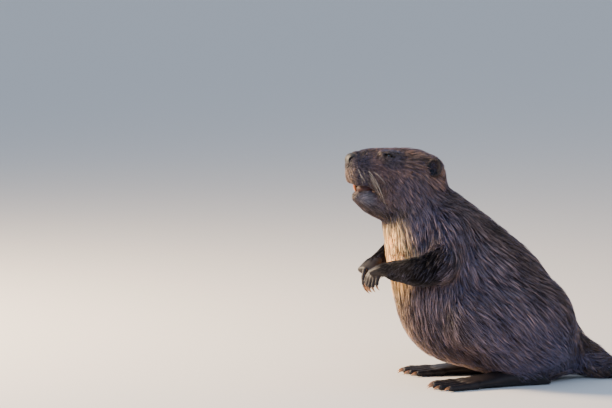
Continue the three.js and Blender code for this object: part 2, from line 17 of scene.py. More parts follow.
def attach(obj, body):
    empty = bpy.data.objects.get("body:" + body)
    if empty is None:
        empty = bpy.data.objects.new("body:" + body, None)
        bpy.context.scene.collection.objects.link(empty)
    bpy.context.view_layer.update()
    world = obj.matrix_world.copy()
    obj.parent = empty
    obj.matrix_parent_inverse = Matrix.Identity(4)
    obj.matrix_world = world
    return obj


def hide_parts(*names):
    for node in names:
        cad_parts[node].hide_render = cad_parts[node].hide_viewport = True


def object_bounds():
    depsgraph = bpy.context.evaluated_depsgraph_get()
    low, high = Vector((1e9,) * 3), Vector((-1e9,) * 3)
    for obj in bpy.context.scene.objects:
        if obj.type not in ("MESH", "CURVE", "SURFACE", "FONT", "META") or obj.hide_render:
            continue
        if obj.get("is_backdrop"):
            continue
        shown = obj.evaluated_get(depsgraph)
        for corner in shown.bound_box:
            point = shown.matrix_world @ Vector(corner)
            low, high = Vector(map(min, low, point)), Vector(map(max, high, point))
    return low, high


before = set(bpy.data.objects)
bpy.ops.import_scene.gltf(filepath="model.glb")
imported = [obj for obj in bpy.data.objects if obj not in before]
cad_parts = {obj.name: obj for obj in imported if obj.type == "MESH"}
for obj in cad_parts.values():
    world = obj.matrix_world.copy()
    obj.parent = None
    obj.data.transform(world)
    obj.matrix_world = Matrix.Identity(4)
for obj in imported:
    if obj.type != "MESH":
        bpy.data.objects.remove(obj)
CAD_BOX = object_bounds()
MM = 0.001
LEFT, RIGHT = -1, 1
SIDES = {"left": LEFT, "right": RIGHT}
rng = np.random.default_rng(7)


def vec(*v):
    return np.array(v, float)


# ---- Driving dimensions, in millimetres ----

# Stations along each spine: x, y, z, then the section's half-width, its reach above and its reach below.
TORSO = [
    (30, 0, 60, 95, 70, 60),  # pelvis
    (-12, 0, 98, 128, 94, 108),  # hips
    (-58, 0, 150, 134, 106, 144),  # loins
    (-103, 0, 205, 116, 95, 140),  # ribs
    (-143, 0, 260, 93, 77, 112),  # shoulders
    (-174, 0, 308, 75, 57, 87),  # root of the neck
    (-196, 0, 342, 63, 42, 56),  # nape
]
SKULL = [
    (-166, 0, 348, 57, 48, 48),  # occiput
    (-195, 0, 355, 60, 53, 60),  # crown
    (-235, 0, 364, 51, 48.5, 50),  # brow
    (-270, 0, 375, 37, 36.5, 33),  # bridge of the nose
    (-294, 0, 379, 28, 27, 26),  # muzzle
]
LOWER_JAW = [
    (-195, 0, 316, 52, 36, 38),  # angle of the jaw
    (-235, 0, 311, 44, 34, 33),
    (-268, 0, 317, 31, 21, 23),
    (-291, 0, 326, 20, 12, 12),  # chin
]
MOUTH = [
    (-335, 0, 339, 60, 17, 13),  # the opening between the lips
    (-302, 0, 340, 44, 8.5, 8),
    (-284, 0, 342, 38, 3.5, 2.5),
    (-262, 0, 333, 30, 2, 2),  # its corners
]
THIGH = [
    (10, 70, 112, 66, 70, 70),  # hip
    (-60, 92, 118, 56, 58, 56),
    (-116, 102, 116, 42, 44, 44),  # knee
]
SHANK = [
    (-112, 103, 108, 40, 38, 38),
    (-62, 98, 64, 32, 32, 32),
    (-18, 88, 32, 24, 24, 26),  # heel
]
TAIL_ROOT = [
    (62, 0, 58, 58, 48, 48),
    (105, 0, 40, 46, 35, 36),
    (140, -2, 26, 37, 24, 25),
    (158, -3, 20, 34, 18, 20),
]
TAIL_PADDLE = [
    (150, -3, 20, 33, 16, 18),
    (185, -6, 14, 47, 12.5, 14),
    (235, -12, 11, 60, 11, 12),
    (290, -21, 10, 62, 9.5, 11),
    (335, -31, 9, 53, 8, 10),
    (366, -39, 8, 34, 6.5, 9),
    (378, -42, 7.5, 20, 5.5, 8),
]
ARMS = {
    LEFT: dict(
        upper=[(-134, -54, 258, 32, 36, 36), (-160, -96, 212, 29, 31, 31)],
        lower=[(-165, -99, 208, 29, 29, 29), (-204, -84, 202, 24, 25, 25), (-242, -51, 200, 16, 17, 16)],
        palm=[(-239, -54, 200, 15, 13, 13), (-256, -39, 202, 18, 10, 11), (-266, -29, 197, 19, 8, 9)],
        reach=(-0.62, 0.14, -0.78),
        curl=(0.95, 0, -0.3),
        spread=(0.45, -0.88, 0.12),
    ),
    RIGHT: dict(
        upper=[(-134, 54, 258, 32, 36, 36), (-164, 96, 222, 29, 31, 31)],
        lower=[(-168, 98, 219, 29, 29, 29), (-207, 76, 219, 23, 24, 24), (-242, 44, 207, 15, 16, 15)],
        palm=[(-239, 47, 208, 14, 12, 12), (-258, 31, 204, 18, 10, 11), (-271, 21, 195, 19, 8, 9)],
        reach=(-0.36, -0.14, -0.92),
        curl=(0.95, 0, -0.3),
        spread=(0.45, 0.88, 0.12),
    ),
}
FINGER = dict(lengths=[20, 26, 29, 28, 24], root=4, tip=3.3, pitch=7.4, fan=0.07, buried=0.1, curl=0.3)
FINGER |= dict(claw=11, claw_size=0.7 * FINGER["tip"], droop=0.5, claw_bend=0.6)
TOE = dict(lengths=[40, 50, 58, 57, 48], root=6.9, tip=4.9, pitch=15.5, fan=0.13, buried=0.12, sink=0.22)
TOE |= dict(claw=17, claw_size=3, droop=0.27, claw_rise=1)
JOINT_SWELL = 0.09  # how much thicker a digit is at its joints
# Along the foot, from heel to ball: x, y, then its half-width and its height.
FOOT = [(24, 81, 13, 14), (2, 84, 21, 30), (-40, 90, 25, 31), (-82, 97, 31, 24), (-122, 103, 37, 17)]
SOLE = dict(middle=0.46, wide=0.97, deep=0.5)  # of the height, the half-width and the height
WEB = dict(height=3.5, dip=0.88, thick=1.7, stations=(-0.1, 0.35, 0.7, 1))
NECK = dict(at=vec(-172, 0, 330), normal=vec(-0.66, 0, 0.75))  # the plane where the head begins
EYE = dict(at=vec(-243, 31.5, 397), radius=6, lids=8.2, slit=vec(8.4, 2.3, 9), slit_low=0.7)
CORNEA = dict(bulge=0.07, edge=0.75, full=0.2)  # edge and full are angles from the pupil's middle
EAR = dict(at=vec(-168, 56, 378), width=27, height=33, thick=9, turn=56, lean=10)
UPPER_TEETH = dict(x=-283, z=344, radius=16, start=140, end=215)
LOWER_TEETH = dict(x=-275, z=330, radius=17, start=205, end=139)
TOOTH = dict(rings=16, thick=3.6, pair=10, half=0.235, apart=0.255, square=0.6)  # pair: both teeth's width
TOOTH |= dict(ground=([0, 0.78, 1], [1, 1, 0.14]))  # the thickness left along it
# A claw's first ring is buried in the digit's tip, its second stands clear of it.
CLAW = dict(rings=10, clear=1.6, buried=1.5, slowing=0.25, taper=1.6, point=0.25, narrow=0.75, flat=0.35)
# The first whisker's place in x and z, and how much each step back and each row down adds to it.
WHISKER = dict(rows=4, steps=4, first=vec(-297, 377), step=vec(8, -2), row=vec(2, -5))
WHISKER |= dict(way=vec(0.1, 0.9, -0.2), way_step=vec(0.07, 0, 0), way_row=vec(0, 0, -0.12))
WHISKER |= dict(length=17, longer=5, pale_from=25, droop=vec(0.16, -0.22, -0.62))
WHISKER |= dict(rings=9, sides=5, thick=0.31, point=0.06)
SCALE = dict(length=7.4, width=6.2, height=1.1, overlap=0.72, first=14, past_end=8.5, rounded=9, lowest=1.5)
SCALE |= dict(top_back=0.2, hind_rise=0.3, flare=1.12, buried=0.6, dome=0.85, floor=0.5, slim=0.92)

# The coat's depth over the skin, and how much less there is of it elsewhere.
DEPTH = dict(trunk=12, head_less=4, snout_less=4.7, tail_less=7, low_leg=3, by_bare=1.2, growing=0.3)
DEPTH |= dict(arm=9, wrist_less=7.4)
# How softly forms run into each other and openings are cut, and how far the skin stays above the floor.
SOFT = dict(arm=14, floor=8, lids=5, slit=1.2, mouth=3, lip_fold=4, sole=1.5, bare=7)
CLEARANCE = dict(haired=7, bare=0.4)
# The lengths of hairs, by where they are rooted.
LENGTH = dict(trunk=38, neck_less=16, face=6.5, tail_root=11, arm=19, wrist_less=14, low_leg=12)
LENGTH |= dict(at_lids=2.2, growing=0.75)
# A tuft's width is a share of its length, within limits; at three_rings it has three rings, below it two.
TUFT = dict(slender=0.045, narrowest=0.5, widest=1.6, three_rings=14, buried=0.8, thick=0.4, lowest=0.8)
# shade: darker at each tuft's root and lighter at its tip, partly the hair's own colour, partly painted shade
# deep in the coat and painted wet highlights on the tips
TUFT |= dict(profile=([0, 0.3, 1], [0.8, 1, 0.5]), shade=([0, 0.35, 1], [0.4, 0.9, 1.3]), rise=2.2)
TUFT |= dict(coverage=5.5, quick_coverage=2.0)  # how many times over the tufts would cover the skin
# guard hairs' higher tone: partly their own paler colour, partly painted wet highlights
GUARD = dict(share=0.14, wide=1.35, long=1.25, high=1.05, tone=1.9)  # long pale hairs that lie on top
UNDER = dict(wide=1, long=1, high=1.02, lower=0.7, tone=0.9)  # the others, lower by up to so much
CLUMP = dict(tufts=6, far=14, near=5, curve=1.3, long_pull=0.6, short_pull=0.4)
SPREAD = dict(way=0.1, tone=0.26, clump_tone=0.3)  # how much tufts and clumps vary
EAR_FUR = dict(density=1.4, quick_density=0.5, stray=0.18)
EAR_FUR |= dict(length=(3, 5.5), rise=(0.5, 1.4), width=(0.35, 0.5))
PATCH = 0.003  # the size of each tuft's patch on the map
MOST_FACES = 180000  # in one piece of the coat

NET = dict(nose=0.8, quick_nose=1.4, ear=1.1, quick_ear=2)  # the cells of their lattices
# Bands of the skin's lattice, as (from, to, step): finest round the eyes and mouth, fine over face, hands
# and toes, coarse over the trunk.
BANDS = dict(
    along=[(-322, -256, 2.2), (-256, -230, 1.1), (-230, -120, 3), (-120, 170, 5.5), (170, 392, 7)],
    out=[(0, 22, 2.2), (22, 42, 1.2), (42, 70, 2.4), (70, 150, 3), (150, 165, 4)],
    up=[(-3, 30, 2.5), (30, 160, 5.5), (160, 215, 2.2), (215, 325, 3), (325, 352, 1.6),
        (352, 386, 2.4), (386, 408, 1.2), (408, 428, 2.4)],
)

# ---- Forms: each has distance(points), in millimetres, under 0 inside ----

FAR = 1e3  # stands for a distance that isn't worked out


def smooth_min(a, b, soft):
    """The lesser of a and b, rounded over where they are within soft of each other."""
    h = np.maximum(soft - np.abs(a - b), 0) / soft
    return np.minimum(a, b) - h * h * soft / 4


def carved(form, tool, soft):
    """The form with the tool's inside cut away, its edges rounded."""
    return -smooth_min(-form, tool, soft)


def smoothstep(low, high, x):
    t = np.clip((x - low) / (high - low), 0, 1)
    return t * t * (3 - 2 * t)


def unit(v):
    return v / np.maximum(np.linalg.norm(v, axis=-1, keepdims=True), 1e-9)


def mixed(a, b, share):
    return a * (1 - share) + b * share


def folded(p):
    """The places, with those on the animal's left mirrored to its right."""
    return np.column_stack([p[:, 0], np.abs(p[:, 1]), p[:, 2]])


def section_distance(offset, radii):
    """Distance from an ellipse or ellipsoid's surface, for offsets given in its own axes."""
    near = np.sqrt(((offset / radii) ** 2).sum(-1))
    slope = np.sqrt(((offset / radii**2) ** 2).sum(-1))
    return near * (near - 1) / np.maximum(slope, 1e-9) - (near < 1e-6) * radii.min(-1)


def in_pieces(measure, p, size=6000):
    """measure(p), worked out for many points at once on all the machine's cores."""
    pieces = [p[i : i + size] for i in range(0, len(p), size)]
    with ThreadPoolExecutor() as pool:
        return np.concatenate(list(pool.map(measure, pieces)))


def through(points, steps):
    """Points along the centripetal Catmull-Rom curve through the given ones, and its tangents there."""
    points = np.asarray(points, float)
    ends = 2 * points[0] - points[1], 2 * points[-1] - points[-2]
    padded = np.vstack([ends[0], points, ends[1]])
    places, tangents = [], []
    for i in range(len(points) - 1):
        a, b, c, d = padded[i : i + 4]
        gaps = [max(np.sqrt(np.linalg.norm(q - p)), 1e-4) for p, q in ((a, b), (b, c), (c, d))]
        leave = ((b - a) / gaps[0] - (c - a) / (gaps[0] + gaps[1]) + (c - b) / gaps[1]) * gaps[1]
        arrive = ((c - b) / gaps[1] - (d - b) / (gaps[1] + gaps[2]) + (d - c) / gaps[2]) * gaps[1]
        last = i == len(points) - 2
        for t in np.arange(steps + last) / steps:
            bend, twist = 3 * (c - b) - 2 * leave - arrive, 2 * (b - c) + leave + arrive
            places.append(b + leave * t + bend * t**2 + twist * t**3)
            tangents.append(leave + 2 * bend * t + 3 * twist * t**2)
    return np.array(places), np.array(tangents)


class Blob:
    """An ellipsoid along the axes."""

    def __init__(self, centre, radii):
        self.centre, self.radii = np.array(centre, float), np.array(radii, float)
        self.low, self.high = self.centre - self.radii, self.centre + self.radii

    def distance(self, p):
        return section_distance(p - self.centre, self.radii)


class Sweep:
    """An elliptical section carried along a spine, with rounded ends."""

    def __init__(self, stations, caps, above=(0, 0, 1), steps=5):
        stations = np.asarray(stations, float)
        self.at, along = through(stations[:, :3], steps)
        self.size = through(stations[:, 3:], steps)[0]
        self.along = unit(along)
        self.side = unit(np.cross(self.along, np.array(above, float)))
        self.up = np.cross(self.side, self.along)
        self.caps = caps
        reach = max(self.size.max(), *caps)
        self.low, self.high = self.at.min(0) - reach, self.at.max(0) + reach

    def nearest(self, p):
        """The spine's nearest segment to each point, how far along it, and a way to mix values there."""
        start, step = self.at[:-1], np.diff(self.at, axis=0)
        length = (step**2).sum(1)
        run = p @ step.T - (start * step).sum(1)
        share = np.clip(run / length, 0, 1)
        gap = (p**2).sum(1)[:, None] - 2 * p @ start.T + (start**2).sum(1)
        gap = gap - 2 * share * run + share**2 * length
        index = gap.argmin(1)
        share = share[np.arange(len(p)), index]
        return index, share, lambda values: mixed(values[index], values[index + 1], share[:, None])

    def distance(self, p):
        index, share, here = self.nearest(p)
        off, size = p - here(self.at), here(self.size)
        side, up, along = ((off * here(axis)).sum(1) for axis in (self.side, self.up, self.along))
        high = np.where(up > 0, size[:, 1], size[:, 2])
        deep = np.minimum(size[:, 0], high)
        deep = np.where((index == 0) & (share == 0), self.caps[0], deep)
        deep = np.where((index == len(self.at) - 2) & (share == 1), self.caps[1], deep)
        return section_distance(np.stack([side, up, along], 1), np.stack([size[:, 0], high, deep], 1))

    def tangent(self, p):
        return self.nearest(p)[2](self.along)

    def around(self, p):
        """The share of the way along the spine, and the angle round it, 0 at its upper side."""
        index, share, here = self.nearest(p)
        off = p - here(self.at)
        angle = np.arctan2((off * here(self.side)).sum(1), (off * here(self.up)).sum(1))
        return (index + share) / (len(self.at) - 1), angle


class Pair:
    """A form on the animal's right that is also its own mirror image on the left."""

    def __init__(self, form):
        self.form = form
        self.low, self.high = form.low * (1, 0, 1) - form.high * (0, 1, 0), form.high

    def distance(self, p):
        return self.form.distance(folded(p))

    def tangent(self, p):
        flip = np.column_stack([np.ones(len(p)), np.sign(p[:, 1]), np.ones(len(p))])
        return self.form.tangent(folded(p)) * flip


class Flipped:
    """A form for the right side, or its mirror image for the left."""

    def __init__(self, form, side):
        self.form, self.flip = form, vec(1, side, 1)
        ends = form.low * self.flip, form.high * self.flip
        self.low, self.high = np.minimum(*ends), np.maximum(*ends)

    def distance(self, p):
        return self.form.distance(p * self.flip)


class Merge:
    """Forms merged one after another, each with its own softness."""

    REACH = 60  # no form is asked about places farther than this from its box

    def __init__(self, *parts):
        self.parts = parts
        self.low = np.min([form.low for form, _ in parts], axis=0)
        self.high = np.max([form.high for form, _ in parts], axis=0)

    def distance(self, p):
        found = np.full(len(p), FAR)
        for form, soft in self.parts:
            away = np.linalg.norm(np.maximum(np.maximum(form.low - p, p - form.high), 0), axis=1)
            near = away <= np.minimum(np.maximum(found, 0), self.REACH) + soft
            if near.any():
                found[near] = smooth_min(found[near], form.distance(p[near]), soft)
        return found


# ---- The animal's forms ----

torso = Sweep(TORSO, (60, 40))
skull = Sweep(SKULL, (28, 20))
jaw = Sweep(LOWER_JAW, (34, 11))
thigh = Pair(Sweep(THIGH, (66, 40)))
shank = Pair(Sweep(SHANK, (34, 22)))
tail_root = Sweep(TAIL_ROOT, (30, 18))
paddle = Sweep(TAIL_PADDLE, (12, 9), steps=8)
mouth = Sweep(MOUTH, (20, 4))
arms = {side: [Sweep(arm["upper"], (30, 24)), Sweep(arm["lower"], (24, 10))] for side, arm in ARMS.items()}
arm_parts = [*arms[LEFT], *arms[RIGHT]]
lip_fold = Blob((-281, 0, 340), (15, 21, 9))  # closes the mouth behind the incisors
lip_patch = Pair(Blob((-284, 24, 328), (12, 14, 12)))  # the pale edge of the lower lip
nose = Blob((-301.5, 0, 389), (12, 17, 13))
nose_wing = Pair(Blob((-299.5, 10, 390), (11, 8.5, 10)))
nose_furrow = Blob((-313.5, 0, 385), (2.2, 0.9, 9))
nostril = Pair(Blob((-303, 15.5, 391), (7, 4.5, 5)))
nostril_slit = Pair(Blob((-299, 17, 394), (5, 3, 1.8)))


def thumb_to_little(lengths):
    """Each digit's length, and its place counted from the middle digit's."""
    return [(length, i - (len(lengths) - 1) / 2) for i, length in enumerate(lengths)]


def emerged(t, digit):
    """The share t of a digit's length, stretched so that the digit starts inside the palm or sole."""
    return t * (1 + digit["buried"]) - digit["buried"]


def digit_sweep(at, digit, above):
    """A digit along at(t), for t from 0 to 1, with a swelling at each joint."""
    stations = []
    for t in np.linspace(0, 1, 7):
        radius = digit["root"] + (digit["tip"] - digit["root"]) * t
        radius *= 1 + JOINT_SWELL * math.cos(4 * math.pi * t)
        stations.append([*at(t), radius, radius, radius])
    return Sweep(stations, (digit["root"], digit["tip"]), above=above, steps=2)


def hand_forms(arm):
    """The palm and fingers of one hand, with each fingertip's place, heading and the way its claw bends."""
    way, bend, across = (unit(vec(*arm[key])) for key in ("reach", "curl", "spread"))
    knuckle = vec(*arm["palm"][-1][:3])
    forms, tips = [Sweep(arm["palm"], (8, 6))], []
    for length, step in thumb_to_little(FINGER["lengths"]):
        out = unit(way + across * step * FINGER["fan"])
        root = knuckle + across * step * FINGER["pitch"]
        at = lambda t: root + out * length * emerged(t, FINGER) + bend * length * FINGER["curl"] * t * t
        forms.append(digit_sweep(at, FINGER, bend))
        tips.append((at(1), unit(out + bend * FINGER["claw_bend"]), bend))
    return forms, tips


def foot_forms(side):
    """The sole, toes and webs of one foot, with each toe's tip, heading and the way its claw bends."""
    sole = [(x, y, high * SOLE["middle"], wide * SOLE["wide"], high * SOLE["deep"], high * SOLE["deep"])
            for x, y, wide, high in FOOT]
    ball, before = vec(*FOOT[-1][:2], 0), vec(*FOOT[-2][:2], 0)
    way, up = unit(ball - before), vec(0, 0, 1)
    turned = lambda angle: vec(*(Matrix.Rotation(-angle, 3, "Z") @ Vector(way)))
    across = turned(math.pi / 2)
    forms, tips, lines = [Sweep(sole, (10, 14))], [], []
    for length, step in thumb_to_little(TOE["lengths"]):
        heading = turned(step * TOE["fan"])
        root = ball + across * step * TOE["pitch"]
        at = lambda t: root + heading * length * emerged(t, TOE) + up * (TOE["root"] * (1 - TOE["sink"] * t))
        forms.append(digit_sweep(at, TOE, up))
        tips.append((at(1) + up * TOE["claw_rise"], heading, -up))
        lines.append((root, heading, length))
    for (a, way_a, long_a), (b, way_b, long_b) in zip(lines, lines[1:]):
        reach = WEB["dip"] * min(long_a, long_b)
        middle = lambda t: (a + b + (way_a + way_b) * reach * t) / 2 + up * WEB["height"]
        spread = lambda t: np.linalg.norm(a - b + (way_a - way_b) * reach * t) / 2
        web = [[*middle(t), spread(t), WEB["thick"], WEB["thick"]] for t in WEB["stations"]]
        forms.append(Sweep(web, (4, 2), steps=3))
    return [Flipped(form, side) for form in forms], [tuple(v * (1, side, 1) for v in tip) for tip in tips]


trunk_form = Merge(
    (torso, 30),
    (Blob((4, 0, 88), (90, 122, 92)), 30),  # rump
    (Blob((-108, 0, 120), (96, 112, 78)), 34),  # belly
    (thigh, 26),
    (shank, 18),
    (Pair(Blob((-136, 56, 258), (44, 42, 50))), 24),  # shoulder
    (tail_root, 30),
    (skull, 24),
    (jaw, 12),
    (Pair(Blob((-216, 37, 338), (42, 25, 36))), 16),  # cheek
    (Pair(Blob((-289, 14, 361), (22, 16, 17))), 8),  # upper lip
    (Pair(Blob((-239, 29, 397), (20, 10, 8))), 12),  # brow ridge
)
arm_form = Merge(*[(part, 20) for part in arm_parts])
hands = {side: hand_forms(ARMS[side]) for side in (LEFT, RIGHT)}
feet = {side: foot_forms(side) for side in (LEFT, RIGHT)}
bare_form = Merge(
    *[(form, 3) for side in (LEFT, RIGHT) for form in hands[side][0]],
    *[(form, 4) for side in (LEFT, RIGHT) for form in feet[side][0]],
    (paddle, 1),
)


def from_eye(p):
    """How far each place is from the middle of the nearer eye."""
    return np.linalg.norm(folded(p) - EYE["at"], axis=1)


def past_neck(p):
    """How far each place is on the head's side of the plane where the head begins."""
    return (p - NECK["at"]) @ NECK["normal"]


def low_on_leg(p, top):
    """1 low on the hind legs, fading to 0 at the height top, and towards the middle and the rump."""
    x, y, z = p.T
    return smoothstep(top, 25, z) * smoothstep(45, 70, np.abs(y)) * smoothstep(60, 20, x)


def coat_depth(p):
    """How far the skin of head and trunk lies inside the coat's surface, in millimetres."""
    x = p[:, 0]
    head = smoothstep(-30, 10, past_neck(p))
    depth = DEPTH["trunk"] - DEPTH["head_less"] * head
    depth -= DEPTH["snout_less"] * head * smoothstep(-215, -290, x)
    front = x < -215
    to_bare = np.minimum(mouth.distance(p[front]), nose.distance(p[front]))
    to_bare = np.minimum(to_bare, from_eye(p[front]) - EYE["lids"])
    depth[front] = np.minimum(depth[front], DEPTH["by_bare"] + DEPTH["growing"] * np.maximum(to_bare, 0))
    depth -= DEPTH["tail_less"] * smoothstep(100, 158, x)
    return depth - np.clip(depth - DEPTH["low_leg"], 0, None) * low_on_leg(p, 70)


def arm_depth(p):
    """The same for the arms."""
    return DEPTH["arm"] - DEPTH["wrist_less"] * smoothstep(-165, -240, p[:, 0])


def past_skin(p):
    """How far each place is outside the skin of head and trunk, and outside that of the arms."""
    return trunk_form.distance(p) + coat_depth(p), arm_form.distance(p) + arm_depth(p)


def bareness(p):
    """How much nearer the bare forms are than the skin of the coated ones, in millimetres."""
    return np.minimum(*past_skin(p)) - bare_form.distance(p)


EYE_OUT = unit(vec(-0.38, 0.8, 0.46))  # the way the right eye looks
EYE_LONG = unit(np.cross(vec(0.12, 0.1, 1), EYE_OUT))  # from one corner of the eye to the other
EYE_HIGH = np.cross(EYE_OUT, EYE_LONG)


def eye_opening(p):
    """Distance from the almond between the lids, and from the round of the lids themselves."""
    off = folded(p) - EYE["at"]
    axes = np.column_stack([off @ EYE_LONG, off @ EYE_HIGH + EYE["slit_low"], off @ EYE_OUT - EYE["radius"]])
    return section_distance(axes, EYE["slit"]), np.linalg.norm(off, axis=1) - EYE["lids"]


def skin_distance(p):
    """The skin: coated forms drawn in by the coat's depth, joined with the bare ones, mouth and eyes open."""
    slit, lids = eye_opening(p)
    haired = smooth_min(*past_skin(p), SOFT["arm"])
    haired = carved(haired, p[:, 2] - CLEARANCE["haired"], SOFT["floor"])
    haired = smooth_min(haired, lids, SOFT["lids"])
    haired = carved(haired, slit, SOFT["slit"])
    haired = carved(haired, mouth.distance(p), SOFT["mouth"])
    haired = smooth_min(haired, lip_fold.distance(p), SOFT["lip_fold"])
    bare = carved(bare_form.distance(p), p[:, 2] - CLEARANCE["bare"], SOFT["sole"])
    return smooth_min(haired, bare, SOFT["bare"])


# ---- Surface nets ----


def lattice(*bands):
    """Places along one axis, in bands of (from, to, step)."""
    places = [np.linspace(a, b, max(2, round(abs(b - a) / step) + 1))[:-1] for a, b, step in bands]
    return np.append(np.concatenate(places), bands[-1][1])


def sample(distance, axes, block=4):
    """The distance at each lattice point; away from the surface, only its sign is right."""
    counts = [len(a) for a in axes]
    starts = [np.arange(0, n - 1, block) for n in counts]
    ends = [np.minimum(s + block, len(a) - 1) for a, s in zip(axes, starts)]
    middles = [(a[s] + a[e]) / 2 for a, s, e in zip(axes, starts, ends)]
    halves = [np.abs(a[e] - a[s]) / 2 for a, s, e in zip(axes, starts, ends)]
    centres = np.stack(np.meshgrid(*middles, indexing="ij"), -1)
    reach = np.linalg.norm(np.stack(np.meshgrid(*halves, indexing="ij"), -1), axis=-1)
    rough = in_pieces(distance, centres.reshape(-1, 3)).reshape(reach.shape)
    near = np.abs(rough) < reach * 1.4 + 2  # a little more than the block, as the distance isn't exact
    owners = [np.minimum(np.arange(n) // block, len(s) - 1) for n, s in zip(counts, starts)]
    value = np.sign(rough)[np.ix_(*owners)] * FAR
    wanted = near[np.ix_(*owners)]
    for axis in range(3):  # points on a block's far faces belong to the next block
        before = list(owners)
        before[axis] = np.maximum((np.arange(counts[axis]) - 1) // block, 0)
        wanted |= near[np.ix_(*before)]
    value[wanted] = in_pieces(distance, np.stack(np.meshgrid(*axes, indexing="ij"), -1)[wanted])
    return value


CORNERS = np.array([[c >> i & 1 for i in range(3)] for c in range(8)], float)
EDGES = [(a, a | bit) for a in range(8) for bit in (1, 2, 4) if not a & bit]


def net(distance, axes):
    """The surface where distance is 0: one corner in each lattice cell it crosses, joined in quads."""
    value = sample(distance, axes)
    inside = value < 0
    shape = [n - 1 for n in value.shape]
    corner = lambda grid, c: grid[tuple(slice(c >> i & 1, (c >> i & 1) + shape[i]) for i in range(3))]
    count = sum(corner(inside, c).astype(np.int8) for c in range(8))
    cells = np.argwhere((count > 0) & (count < 8))
    values = np.stack([corner(value, c)[tuple(cells.T)] for c in range(8)], 1)
    lows = np.stack([axes[i][cells[:, i]] for i in range(3)], 1)
    sizes = np.stack([axes[i][cells[:, i] + 1] for i in range(3)], 1) - lows
    total, crossings = np.zeros_like(lows), np.zeros(len(lows))
    for a, b in EDGES:
        crossed = (values[:, a] < 0) != (values[:, b] < 0)
        t = values[:, a] / np.where(crossed, values[:, a] - values[:, b], 1)
        place = CORNERS[a] + (CORNERS[b] - CORNERS[a]) * t[:, None]
        total += np.where(crossed[:, None], place, 0)
        crossings += crossed
    points = lows + sizes * total / crossings[:, None]
    number = np.full(shape, -1)
    number[tuple(cells.T)] = np.arange(len(cells))
    quads = np.concatenate([quads_across(axis, inside, number) for axis in range(3)])
    for _ in range(2):
        points = settle(points, distance, sizes.min(1))
    return points, quads


def quads_across(axis, inside, number):
    """A quad round each lattice edge along the axis that the surface crosses, facing out."""
    u, v = (axis + 1) % 3, (axis + 2) % 3
    cut = [slice(1, n - 1) for n in inside.shape]
    ahead = list(cut)
    cut[axis], ahead[axis] = slice(0, inside.shape[axis] - 1), slice(1, inside.shape[axis])
    here, there = inside[tuple(cut)], inside[tuple(ahead)]
    first, one = np.argwhere(here != there), np.eye(3, dtype=int)
    cells = [first + i * one[u] + j * one[v] for i, j in ((0, 0), (1, 0), (1, 1), (0, 1))]
    quad = np.stack([number[tuple(cell.T)] for cell in cells], 1)
    leaving = here[here != there]
    return np.where(leaving[:, None], quad, quad[:, ::-1])


def slope_of(distance, p, h=0.4):
    """The distance at each point and its gradient, from the corners of a small tetrahedron."""
    corners = np.array([(1, 1, 1), (1, -1, -1), (-1, 1, -1), (-1, -1, 1)], float)
    values = [in_pieces(distance, p + c * h) for c in corners]
    return sum(values) / 4, sum(v[:, None] * c for v, c in zip(values, corners)) / (4 * h)


def settle(points, distance, sizes):
    """Moves each point towards where distance is 0, by at most a third of its cell."""
    value, slope = slope_of(distance, points)
    move = np.clip(value / np.maximum((slope**2).sum(1), 1e-3), -sizes / 3, sizes / 3)
    return points - slope * move[:, None]


# ---- Colours: each a function of the place on the animal ----

# Angles round the trunk, from the middle of the back, where the coat changes; lower_front is added low down.
TURN = dict(back=25, flank=80, front=124, lower_front=30, front_fade=32)
TURN = {name: math.radians(angle) for name, angle in TURN.items()}
COAT = dict(
    back=vec(0.068, 0.037, 0.024),
    # flank: brown cooled towards blue, partly its own colour, partly painted bluish sheen of the sky on damp
    # fur
    flank=vec(0.076, 0.048, 0.045),
    # front: pale tan of chest and belly front, partly their own lighter fur, partly painted sunlight on the
    # chest
    front=vec(0.800, 0.500, 0.200),
    # belly: darker tan low on the front, painted shade on the lower belly
    belly=vec(0.200, 0.125, 0.070),
    # arm: near-black forelimbs, partly their own dark fur, partly painted shade
    arm=vec(0.008, 0.007, 0.009),
    # crown: reddish top of the head, partly its own colour, partly painted warm rim light
    crown=vec(0.150, 0.078, 0.046),
    cheek=vec(0.080, 0.047, 0.035),
    muzzle=vec(0.055, 0.036, 0.030),
    # snout: pale front of the muzzle, partly its own paler fur, partly painted sunlight
    snout=vec(0.170, 0.105, 0.066),
    # brow: darker round the eye and over the brow bump, partly its own colour, partly painted shade
    brow=vec(0.060, 0.039, 0.028),
    # throat: darker under the jaw, painted shade under the head
    throat=vec(0.058, 0.039, 0.030),
    lip=vec(0.190, 0.160, 0.155),
    whisker=vec(0.620, 0.530, 0.420),
    whisker_dark=vec(0.045, 0.032, 0.025),
)
SKIN = dict(
    bare=vec(0.012, 0.008, 0.009),
    tail=vec(0.050, 0.042, 0.038),
    lips=vec(0.036, 0.016, 0.013),
    # mouth: near-black red inside the opening, partly its own colour, partly painted shade
    mouth=vec(0.034, 0.009, 0.007),
    lids=vec(0.020, 0.014, 0.012),
    nose=vec(0.019, 0.016, 0.016),
    # nostril: near-black inside the nostrils, painted shade in the holes
    nostril=vec(0.004, 0.003, 0.003),
    ear=vec(0.010, 0.009, 0.011),
    # ear_inside: darker in the ear's hollow, partly its own dark skin, partly painted shade
    ear_inside=vec(0.006, 0.006, 0.008),
    ear_rim=vec(0.050, 0.036, 0.030),
)


def blend(a, b, share):
    return a + (b - a) * np.clip(share, 0, 1)[:, None]


